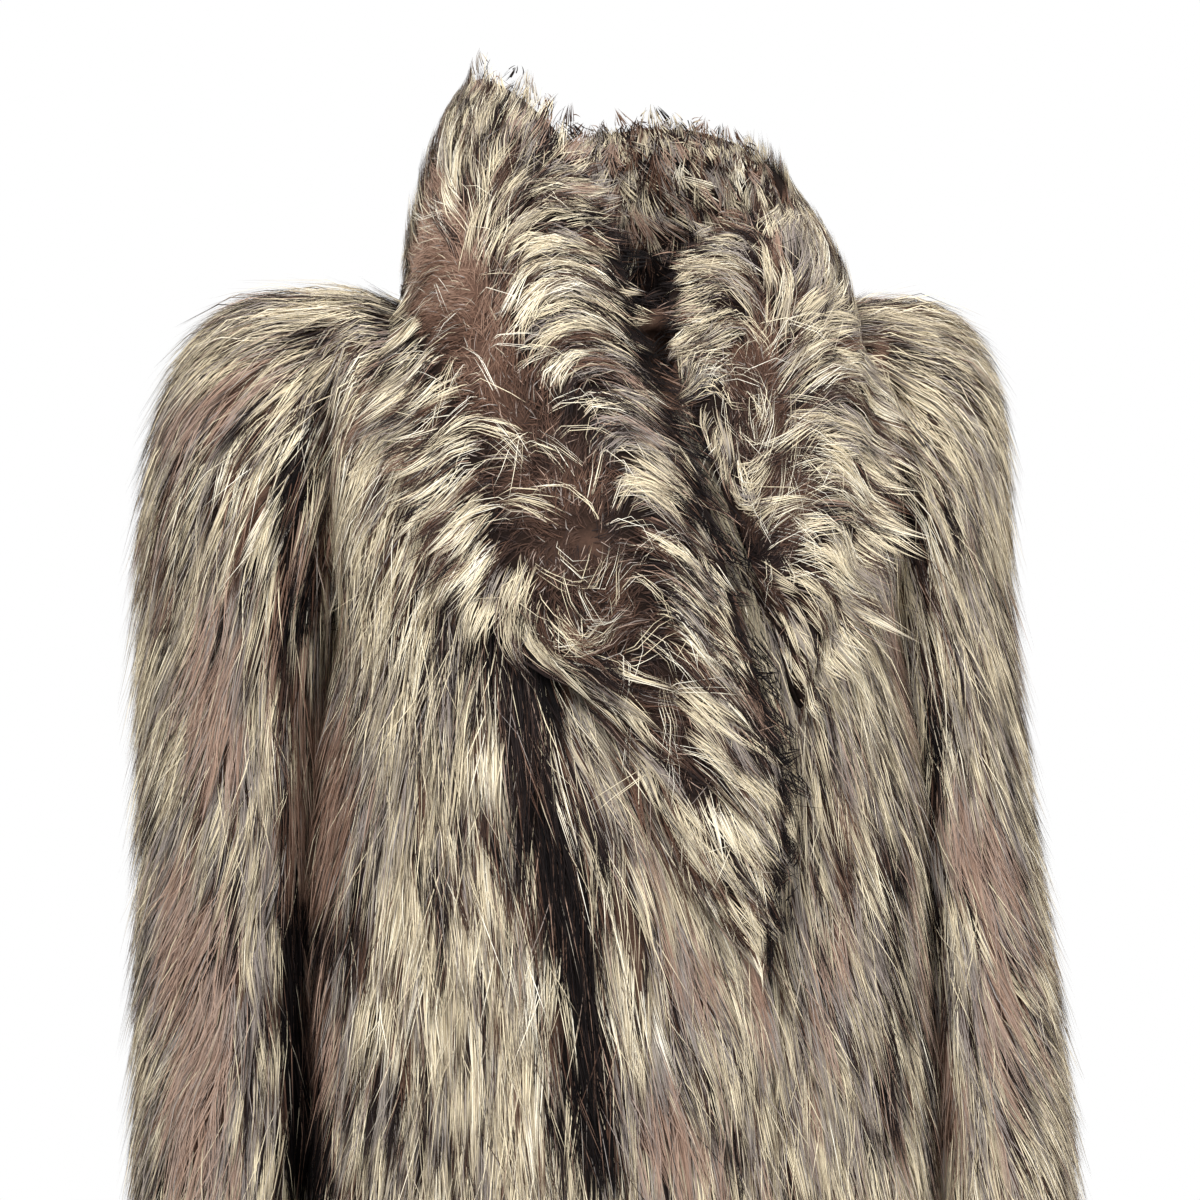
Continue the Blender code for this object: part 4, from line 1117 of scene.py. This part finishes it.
COLLAR_NAP = {
    -1: in_metres(2, (
        (-80, 124, 74), (-61, 108, 62), (-75, 109, 70), (-99, 111, 100), (-115, 91, 125), (-128, 67, 150),
        (-139, 44, 168), (-143, 18, -172), (-126, 11, 175), (-148, -21, -160), (-128, -23, -165),
        (-139, -49, -140), (-128, -62, -150), (-114, -88, -165), (-126, -107, -140), (-95, -94, 178),
        (-108, -120, -150), (-84, -113, 165), (-97, -145, -140), (-72, -139, 150), (-79, -164, -120),
        (-61, -164, -100), (-52, -195, -70), (-31, -227, -62), (-11, -265, -62), (8, -310, -64),
        (21, -348, -68), (-59, -113, 100), (-80, -30, 95), (-94, 31, 85), (-95, 59, 70), (-77, 79, 40),
        (-57, 90, 5), (-45, 79, -12), (-74, 44, 25), (-54, 48, -15), (-35, 44, -20), (-80, 10, 60),
        (-60, 20, 5), (-37, 14, -40), (-24, 4, -40), (-85, -17, 75), (-65, -9, 15), (-40, -16, -20),
        (-13, -26, -35), (-82, -49, 95), (-73, -30, 60), (-53, -20, 10), (-29, -43, -25), (-3, -59, -40),
        (-56, -62, 90), (-46, -49, 30), (-24, -69, -35), (1, -94, -45), (-39, -94, 90), (-32, -82, 30),
        (-7, -101, -40), (17, -139, -50), (-25, -126, 60), (-3, -139, -35), (22, -171, -50),
        (-21, -183, 60), (-5, -173, 0), (21, -196, -42), (37, -215, -50), (-31, -220, 60), (-12, -212, 0),
        (13, -240, -42), (45, -265, -48), (-5, -259, 10), (19, -278, -38), (54, -303, -48), (7, -284, -45),
        (38, -316, -52), (20, -329, -60), (48, -354, -60), (61, -335, -50),
    )),
    1: in_metres(2, (
        (53, 64, -145), (48, 13, -130), (31, 21, -170), (58, 25, 178), (42, 5, -175), (71, 22, 150),
        (89, 5, 110), (89, -22, 112), (78, -29, 120), (62, -22, 150), (34, -22, -160), (60, -16, -130),
        (63, -49, 125), (62, -68, -100), (55, -101, -95), (38, -62, -170), (105, 30, 95), (126, 53, 75),
        (132, 28, 62), (111, -1, 60), (124, 4, 45), (144, -4, 15), (98, -42, 45), (120, -41, 35),
        (146, -34, 0), (152, -61, -36), (88, -75, 45), (109, -75, 30), (131, -81, -10), (141, -107, -38),
        (79, -114, 55), (99, -114, 40), (120, -127, 5), (131, -153, -50), (72, -152, 45), (90, -152, 35),
        (107, -172, -30), (79, -191, -25), (96, -203, -72), (28, -45, -100), (35, -85, -75),
        (45, -125, -60), (52, -165, -80),
    )),
}
# The collar's outer side hangs behind the neck. Its body side is combed up to the roll line, with a curl.
COLLAR_BEHIND = in_metres(2, (
    (-100, 60, -100), (0, 60, -90), (100, 60, -80),
))
COLLAR_INSIDE = in_metres(2, (
    (-80, 80, 100), (0, 100, 85), (100, 100, 95), (20, 40, 60), (60, 60, 130), (110, 50, 70), (-60, 20, 60),
    (0, -100, -60),
))

# Where the nap parts on each side of the collar and the short underfur shows: places and half widths.
PARTING = {
    -1: in_metres(2, (
        (-111, 102, 0.0055), (-113, 53, 0.0147), (-113, 4, 0.0155), (-99, -43, 0.0147), (-82, -82, 0.0173),
        (-60, -126, 0.0227), (-45, -164, 0.02), (-24, -208, 0.015), (-6, -252, 0.01), (16, -303, 0.006),
        (32, -335, 0.003),
    )),
    1: in_metres(2, (
        (94, -15, 0.002), (73, -49, 0.006), (68, -81, 0.01), (89, -104, 0.0125), (81, -139, 0.011),
        (69, -165, 0.008), (70, -195, 0.004),
    )),
}

# Dark places on the collar: where, how wide, and the tone.
COLLAR_DARK = {
    -1: in_metres(3, (
        (-78, 128, 10, 0.12), (-20, -30, 10, 0.2), (12, -75, 12, 0.12),
    )),
    1: in_metres(3, (
        (40, -68, 9, 0.1), (50, -85, 8, 0.16), (130, 48, 12, 0.4), (60, 60, 14, 0.2), (148, -70, 10, 0.2),
    )),
}

BARE_EDGE = (1.75, 0.95)  # half widths between which the long hair goes over into the parting
BARE_FADE = (0.03, 0.0)
FRINGE = 0.22  # hair is led this part of the collar's width past its edges
GUIDE_COLUMNS = 25
EDGE_LOFT = 0.30  # how high over the leaf's edges the hair passes, as a part of the fullness

# Hair on the collar. A fade over the leaf goes by the part of its width from the roll line.
ON_LEAF_FADES = ((-0.02, 0.01), (1.02, 0.99))
POINT_FADE = (0.86, 1.0)  # towards the lapel's point, as parts of the leaf's length
POINT_SHORTER = 0.4
ROLL_LENGTH = 0.38
ROLL_FADE = (0.02, 0.34)
EDGE_SHORTER = 0.12
EDGE_FADE = (0.55, 0.80)
TIP_SHORTER = 0.22
TIP_FADE = (0.100, 0.150)
IN_PARTING = 0.015  # how much long hair grows in the parting, and how much of the short hair outside it
OUT_OF_PARTING = 0.002
COLLAR_TONE = 0.66
DARKER_AT_ROLL = 0.10
DARKER_FADE = (0.34, 0.06)
COLLAR_DRIFT = (0.11, 8, 0.026, 1.0)
# Along the roll line the collar has near-black locks: partly the hair's own dark tips, partly painted shade
# in the crease between the collars.
ROLL_TIPS_AND_SHADE = 0.06  # the tone of the dark locks along the roll line, their share and how wide a strip they take
ROLL_SHARE = 0.95
ROLL_STRIP = {-1: 0.13, 1: 0.04}
ROLL_STRIP_FADE = 0.13
ROLL_DARK_FADE = (0.08, 0.02)
DARK_SHARE = 0.9
LONG_WHITE = 0.88
UNSEEN = 0.10  # the share of hair where the body side turns to the front, and deep inside
UNSEEN_FADE = (-0.03, 0.02)
DEEP_HAIR = 0.35
DEEP_HAIR_FADE = (0.95, 0.60)
THICKER_AT_ROLL = 1.6
THICKER_FADE = (0.16, 0.02)
INSIDE_LENGTH = 0.36
INSIDE_FADE = (0.0, 0.40)
INSIDE_TONE = 0.42
INSIDE_DRIFT = (0.20, 12, 0.018, 1.0)
COLLAR_BLEND = 0.008
TURN_BEHIND = (0.02, 0.07)
COLLAR_DARK_SHARE = {-1: 0.47, 1: 0.36}
SHARES = {"main": 0.74, "loose": 0.05, "white": 0.014, "down": 0.32}  # of a collar half's number of hairs
INSIDE_BLEND = 0.020
# The hair of the collar's body side turns near black low down: painted shade deep in the gap between the
# collars.
DEEP_SHADE_TONE = 0.05
DEEP_SHADE_FADE = (0.085, 0.030)


def bared(points, side):
    """1 in the parting of the nap, 0 away from it."""
    bare = np.zeros(len(points))
    table = np.array(PARTING[side])
    for (x0, z0, half0), (x1, z1, half1) in zip(table[:-1], table[1:]):
        distance, part = from_line(points, x0, z0, x1, z1)
        bare = np.maximum(bare, smoothstep(*BARE_EDGE, distance / (half0 + (half1 - half0) * part)))
    return bare * smoothstep(*BARE_FADE, points[:, 1])


def led_past_edges(place):
    """The surfaces that lead a collar's hair, straight on past both edges of the leaf and over its plane."""
    low = place["low"]
    high = place["high"]
    columns = low.shape[1]
    part = (1 - np.cos(np.pi * np.arange(columns) / (columns - 1))) / 2
    depth = np.linalg.norm(high - low, axis=-1)
    full = depth.max(axis=1)
    outward = unit(high[:, columns // 2] - low[:, columns // 2])
    wanted = np.linspace(-FRINGE, 1 + FRINGE, GUIDE_COLUMNS)
    led_low = []
    led_high = []
    for row in range(len(low)):
        start, end = low[row, 0], low[row, -1]
        plane = start + (end - start) * wanted[:, None]
        off = low[row] - (start + (end - start) * part[:, None])
        plane = plane + np.stack([np.interp(wanted, part, off[:, axis]) for axis in range(3)], axis=1)
        rise = np.maximum(np.interp(wanted, part, depth[row]), EDGE_LOFT * full[row])
        led_low.append(plane)
        led_high.append(plane + outward[row] * rise[:, None])
    return dict(place, low=np.array(led_low), high=np.array(led_high))


def part_across(b):
    """How far across the leaf a column lies: 0 at the roll line, 1 at the outer edge."""
    return b / (GUIDE_COLUMNS - 1) * (1 + 2 * FRINGE) - FRINGE


def on_leaf(b):
    part = part_across(b)
    return smoothstep(*ON_LEAF_FADES[0], part) * smoothstep(*ON_LEAF_FADES[1], part)


def shorter_at_roll(a, b):
    """Hair rooted near the roll line is short, so that little of it stands past the line."""
    part = part_across(b)
    near_point = smoothstep(*POINT_FADE, a / (COLLAR_SECTIONS * REFINE))
    near_edge = smoothstep(*EDGE_FADE, part)
    length = rising(ROLL_LENGTH, ROLL_FADE, part) * (1 - EDGE_SHORTER * near_edge)
    return length * (1 - POINT_SHORTER * near_point)


def over_styles(guide, side, count):
    """The collar's outer side: arching locks, loose and white hairs, and short down in the parting."""
    grid = guide["low"]

    def away_from_parting(a, b):
        return on_leaf(b) * (IN_PARTING + (1 - bared(at(grid, a, b, False), side)))

    def in_parting(a, b):
        return on_leaf(b) * (OUT_OF_PARTING + bared(at(grid, a, b, False), side))

    def tone(points, a, b):
        part = part_across(b)
        tone = drifted(COLLAR_TONE - DARKER_AT_ROLL * smoothstep(*DARKER_FADE, part), points, COLLAR_DRIFT)
        draw = draws(points, a)
        # Near-black locks along the roll line: dark tips and painted shade in the crease between the collars.
        strip = ROLL_SHARE * smoothstep(ROLL_STRIP[side], ROLL_STRIP[side] - ROLL_STRIP_FADE, part)
        tone = darkened(tone, ROLL_TIPS_AND_SHADE, strip * smoothstep(*ROLL_DARK_FADE, points[:, 2]), draw)
        for x, z, reach, dark in COLLAR_DARK[side]:
            distance = np.hypot(points[:, 0] - x, points[:, 2] - z)
            tone = darkened(tone, dark, DARK_SHARE * np.exp(-((distance / reach) ** 2)), draw)
        return tone

    def shorter(a, b):
        height = at(grid, a, b, False)[..., 2]
        return shorter_at_roll(a, b) * (1 - TIP_SHORTER * smoothstep(*TIP_FADE, height))

    def long_white(points, a, b):
        return np.full(len(points), LONG_WHITE)

    def short_hair(points, a, b):
        return parting_tone(points, *SHORT_HAIR)

    base = {
        "steps": 3, "in_lock": 17, "length": 0.060, "shorter": shorter, "swing": 0.15, "closing": 0.76,
        "ragged": 0.62, "spread_along": 0.0046, "spread_across": 0.0046, "rise": (0.44, 0.94),
        "uneven": 0.08, "most": 1.12, "bow": 0.9, "arch": 0.13, "mix": 0.13, "width": 0.00064,
        "tone": tone, "density": away_from_parting,
        "flow": nap(COLLAR_NAP[side], COLLAR_BLEND, COLLAR_BEHIND, TURN_BEHIND),
        "dark_share": COLLAR_DARK_SHARE[side], "light_share": 0.24, "guide": guide,
        "ground": collar_ground(side),
    }
    loose = {"in_lock": 1, "swing": 0.6, "width": 0.0005, "dark_share": 0.2}
    white = {
        "in_lock": 4, "swing": 0.8, "width": 0.00044, "density": in_parting, "length": 0.060,
        "tone": long_white, "spread_along": 0.0016, "spread_across": 0.0016, "dark_share": 0.0,
        "shorter": everywhere, "rise": (0.40, 1.20), "ragged": 0.6, "closing": -1.6, "arch": 0.05,
    }
    down = {
        "word": "down_", "steps": 2, "in_lock": 6, "swing": 0.5, "width": 0.0007, "density": in_parting,
        "length": 0.017, "tone": short_hair, "dark_share": 0.0, "light_share": 0.0, "mix": 0.05,
        "shorter": everywhere, "rise": (0.46, 0.80), "closing": 0.5, "arch": 0.0,
    }
    kinds = {"main": {}, "loose": loose, "white": white, "down": down}
    return [dict(base, count=int(count * SHARES[kind]), **own) for kind, own in kinds.items()]


def shorter_inside(a, b):
    return rising(INSIDE_LENGTH, INSIDE_FADE, part_across(b))


def under_styles(guide, count):
    """The collar's body side: dark ground with golden hair, combed up and over the roll line, the hair near
    black low down as painted shade deep between the collars.
    """
    grid = guide["low"]

    def density(a, b):
        part = part_across(b)
        seen = rising(UNSEEN, UNSEEN_FADE, at(grid, a, b, False)[:, 1])
        at_roll = 1 + THICKER_AT_ROLL * smoothstep(*THICKER_FADE, part)
        return on_leaf(b) * seen * rising(DEEP_HAIR, DEEP_HAIR_FADE, part) * at_roll

    def tone(points, a, b):
        golden = drifted(INSIDE_TONE, points, INSIDE_DRIFT)
        # Below about 3 to 8.5 cm up, the hair goes near black: painted shade deep in the gap between the
        # collars.
        return darkened(golden, DEEP_SHADE_TONE, smoothstep(*DEEP_SHADE_FADE, points[:, 2]), draws(points, a))

    return [{
        "steps": 3, "in_lock": 14, "length": 0.036, "shorter": shorter_inside, "swing": 0.45,
        "closing": 0.7, "ragged": 0.6, "spread_along": 0.0045, "spread_across": 0.0045,
        "rise": (0.45, 0.80), "uneven": 0.08, "most": 1.0, "bow": 0.9, "arch": 0.0, "mix": 0.10,
        "width": 0.00090, "tone": tone, "density": density, "flow": nap(COLLAR_INSIDE, INSIDE_BLEND),
        "dark_share": 0.42, "light_share": 0.10, "guide": guide, "ground": dark_ground, "count": count,
    }]


ROOT_FADE = (0.10, 0.42)  # where up a hair its root's colour goes over into its middle's
TIP_COLOUR_FADE = (0.70, 0.96)  # where its middle's goes over into its tip's


def guard_hair():
    """Guard hair: banded from root to tip by one axis of its map, with the hair's tone along the other."""
    finish = Finish("guard_hair")
    place = finish.node("UVMap", {"uv_map": TONE_MAP})
    tone, up = (finish.node("SeparateXYZ", None, {"Vector": place}, output=axis) for axis in "XY")
    lower = finish.blend(finish.rise(up, *ROOT_FADE), finish.ramp(tone, ROOT), finish.ramp(tone, MIDDLE))
    finish.give("Base Color", finish.blend(finish.rise(up, *TIP_COLOUR_FADE), lower, finish.ramp(tone, TIP)))
    finish.give("Roughness", 0.60)
    # Little specular: the hair's white sheen is painted into its cream tones as highlight instead.
    finish.give("Specular IOR Level", 0.07)
    return finish.material


UNDERFUR_TONES = (
    (0.00, 6, 5, 5), (0.20, 38, 27, 22), (0.45, 90, 68, 57), (0.75, 128, 101, 86), (1.00, 158, 130, 112),
)
DRIFT_STRENGTH = 0.30
FUZZ_STRENGTH = 0.12


def underfur():
    """Dense soft underfur, mauve brown, darker where the pelt is dark and near black as painted shade in the
    creases by the sleeves and collar, with a fine fuzz.
    """
    finish = Finish("underfur")
    tone = finish.node("Attribute", {"attribute_name": "tone"}, output="Fac")
    place = finish.node("TexCoord", output="Object")
    fuzz = finish.node("TexNoise", None, {"Vector": place, "Scale": 420.0, "Detail": 3.0})
    drift = finish.node("TexNoise", None, {"Vector": place, "Scale": 38.0, "Detail": 3.0})
    colour = finish.ramp(tone + (drift - 0.5) * DRIFT_STRENGTH + (fuzz - 0.5) * FUZZ_STRENGTH, UNDERFUR_TONES)
    finish.give("Base Color", colour)
    finish.give("Roughness", 0.95)
    finish.give("Specular IOR Level", 0.1)
    bump = finish.node("Bump", None, {"Strength": 0.6, "Distance": 0.002, "Height": fuzz})
    finish.give("Normal", bump)
    return finish.material


# The parting goes from rufous brown low down to soft mauve at the top of the collar: the tone low down, how
# much more it is at the top, and how it drifts, for the short hair and for the ground under it.
BARE_HEIGHTS = (-0.110, 0.080)
SHORT_HAIR = (0.150, 0.128, (0.018, 21, 0.05, 1.0))
BARE_GROUND = (0.20, 0.50, (0.08, 21, 0.05, 1.0))
COVERED_GROUND = 0.12
INSIDE_GROUND = (0.08, (0.04, 22, 0.04, 1.0))


def parting_tone(points, low, more, drift):
    return drifted(low + more * smoothstep(*BARE_HEIGHTS, points[:, 2]), points, drift)


def collar_ground(side):
    """The ground of the collar's outer side: underfur in the parting, dark brown away from it."""

    def tone(points, a, b):
        bare = parting_tone(points, *BARE_GROUND)
        return COVERED_GROUND + (bare - COVERED_GROUND) * bared(points, side)

    return tone


def dark_ground(points, a, b):
    return drifted(INSIDE_GROUND[0], points, INSIDE_GROUND[1])


def plain(name, colour, rough):
    finish = Finish(name)
    finish.give("Base Color", (*linear(colour), 1))
    finish.give("Roughness", rough)
    return finish.material


# How many hairs each pelt has, and the flat width and length of each sheet.
HAIR = {
    "front_right": 51000, "front_left": 41000, "back": 26000, "sleeve_right": 35000, "sleeve_left": 34000,
    "collar_right": 30500, "collar_left": 23500, "collar_right_under": 8000, "collar_left_under": 8000,
}
FLAT = {
    "front_right": (0.36, 0.95), "front_left": (0.36, 0.95), "back": (0.60, 0.96),
    "sleeve_right": (0.42, 0.64), "sleeve_left": (0.42, 0.64), "collar_right": (0.19, 0.66),
    "collar_left": (0.17, 0.55), "collar_right_under": (0.18, 0.60), "collar_left_under": (0.17, 0.50),
}


def dress(name, place, pelt_material, hair_material, styles, random):
    """The pelt and the hair of one side of one piece."""
    flat = place["low"].reshape(-1, 3)
    tones = styles[0].get("ground", body_tone)(flat, None, None)
    skin_piece = pelt("pelt_" + place["name"], place, pelt_material, tones)
    guide = styles[0].get("guide", place)
    hair_pieces = []
    for word in ("fur_", "down_"):
        wanted = [style for style in styles if style.get("word", "fur_") == word]
        if wanted:
            groups = [locks_of_hair(guide, style["count"], style, random) for style in wanted]
            hair_pieces.append(ribbons(word + place["name"], groups, hair_material, random))
    for piece in (skin_piece, *hair_pieces):
        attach(piece, "root")
        name + "_fur"
    return skin_piece, hair_pieces


MAIN_SHARE = 0.88  # the rest of a panel's hairs are loose
LOOSE = {"in_lock": 1, "swing": 0.20, "width": 0.0007, "rise": (0.5, 1.14), "most": 1.32}
OWN_STYLE = {
    "back": {"width": 0.0015, "in_lock": 12, "spread_across": 0.0040},
    "front_left": {"light_share": 0.40, "dark_share": 0.21},
    "sleeve_left": {"light_share": 0.40, "dark_share": 0.21},
}
BACK_BLEND = 0.03
BODY_BLEND = 0.012
TURN_TO_BACK = (-0.01, 0.04)
PANEL_SEED = 100
COLLAR_SEED = 200


def clothe():
    """Every pelt with its hair, in place of its solid."""
    pelt_material = underfur()
    hair_material = guard_hair()
    panels = {}
    halves = []
    for side, word, table in ((-1, "right", SLEEVE_RIGHT), (1, "left", SLEEVE_LEFT)):
        front, back, sleeve = half_panels(side, table)
        if side < 0:
            front = (lapped(*front), front[1])
        panels["front_" + word] = skin("front_" + word, *front, False, side)
        panels["sleeve_" + word] = skin("sleeve_" + word, *sleeve, True, side)
        halves.append(back)
    right, left = halves
    back = [np.concatenate([right[i][:, ::-1], left[i][:, 1:]], axis=1) for i in range(2)]
    panels["back"] = skin("back", *back, False, -1)

    guides = over_seams(panels)
    for number, (name, place) in enumerate(panels.items()):
        random = np.random.default_rng(PANEL_SEED + number)
        if name == "back":
            flow = nap(BACK_NAP, BACK_BLEND)
        else:
            flow = nap(BODY_NAP, BODY_BLEND, BACK_NAP, TURN_TO_BACK)
        count = HAIR[name]
        main = panel_style(guides[name], flow=flow, count=int(count * MAIN_SHARE), guide=guides[name])
        main.update(OWN_STYLE.get(name, {}))
        loose = dict(main, count=int(count * (1 - MAIN_SHARE)), **LOOSE)
        skin_piece, hair_pieces = dress(name, place, pelt_material, hair_material, [main, loose], random)
        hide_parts(name)

    for number, (name, table, side) in enumerate(
        (("collar_right", COLLAR_RIGHT, -1), ("collar_left", COLLAR_LEFT, 1))
    ):
        random = np.random.default_rng(COLLAR_SEED + number)
        over, under = leaf_skins(name, table, side)
        styles = over_styles(led_past_edges(over), side, HAIR[name])
        skin_piece, hair_pieces = dress(name, over, pelt_material, hair_material, styles, random)
        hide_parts(name)
        styles = under_styles(led_past_edges(under), HAIR[name + "_under"])
        skin_piece, hair_pieces = dress(name, under, pelt_material, hair_material, styles, random)
        FLAT[name + "_under"]


TARGET = (0.0, 0.0, -0.2)
CAMERA_TURN = (-10.0, 3.0)
CAMERA_DISTANCE = 1.8
VIEW_WIDTH = 0.857
SENSOR = 36.0
FLOOR_RADIUS = 2.4
FLOOR_HEIGHT = -1.45
FLOOR_SIDES = 128
FLOOR_COLOUR = (235, 235, 235)
FLOOR_ROUGHNESS = 0.8
SOFT_LIGHT = 0.52  # the sky's strength, except where the camera sees it
# Each lamp's name, place, power and size.
LAMPS = (
    ("key", (-1.2, -2.2, 1.9), 118.0, 1.0),
    ("fill", (1.8, -1.8, 0.8), 40.0, 1.6),
    ("back", (0.4, 2.4, 1.8), 60.0, 1.6),
)


def studio():
    """A pale round floor, soft light from all round, three large soft lamps and the camera."""
    bpy.ops.mesh.primitive_circle_add(
        vertices=FLOOR_SIDES, radius=FLOOR_RADIUS, fill_type="NGON", location=(0, 0, FLOOR_HEIGHT)
    )
    floor = bpy.context.object
    floor.name = "floor"
    floor.data.materials.append(plain("floor", FLOOR_COLOUR, FLOOR_ROUGHNESS))
    world = bpy.data.worlds.new("studio")
    world.use_nodes = True
    sky = world.node_tree.nodes["Background"]
    sky.inputs["Color"].default_value = (1, 1, 1, 1)
    nodes = Nodes(world.node_tree)
    seen = nodes.node("LightPath", output="Is Camera Ray")
    nodes.put(sky.inputs["Strength"], nodes.node("MapRange", None, {"Value": seen, "To Min": SOFT_LIGHT}))
    scene = bpy.context.scene
    scene.world = world
    for name, place, power, size in LAMPS:
        light = bpy.data.lights.new(name, "AREA")
        light.energy = power
        light.size = size
        lamp = bpy.data.objects.new(name, light)
        lamp.location = place
        lamp.rotation_euler = (Vector(TARGET) - Vector(place)).to_track_quat("-Z", "Y").to_euler()
        scene.collection.objects.link(lamp)
    azimuth, elevation = np.radians(CAMERA_TURN)
    back = Vector((
        np.sin(azimuth) * np.cos(elevation), -np.cos(azimuth) * np.cos(elevation), np.sin(elevation),
    ))
    camera = bpy.data.objects.new("camera", bpy.data.cameras.new("camera"))
    camera.data.sensor_width = SENSOR
    camera.data.lens = SENSOR * CAMERA_DISTANCE / VIEW_WIDTH
    camera.location = Vector(TARGET) + back * CAMERA_DISTANCE
    camera.rotation_euler = back.to_track_quat("Z", "Y").to_euler()
    scene.collection.objects.link(camera)
    scene.camera = camera
    scene.view_settings.view_transform = "Standard"


clothe()
studio()
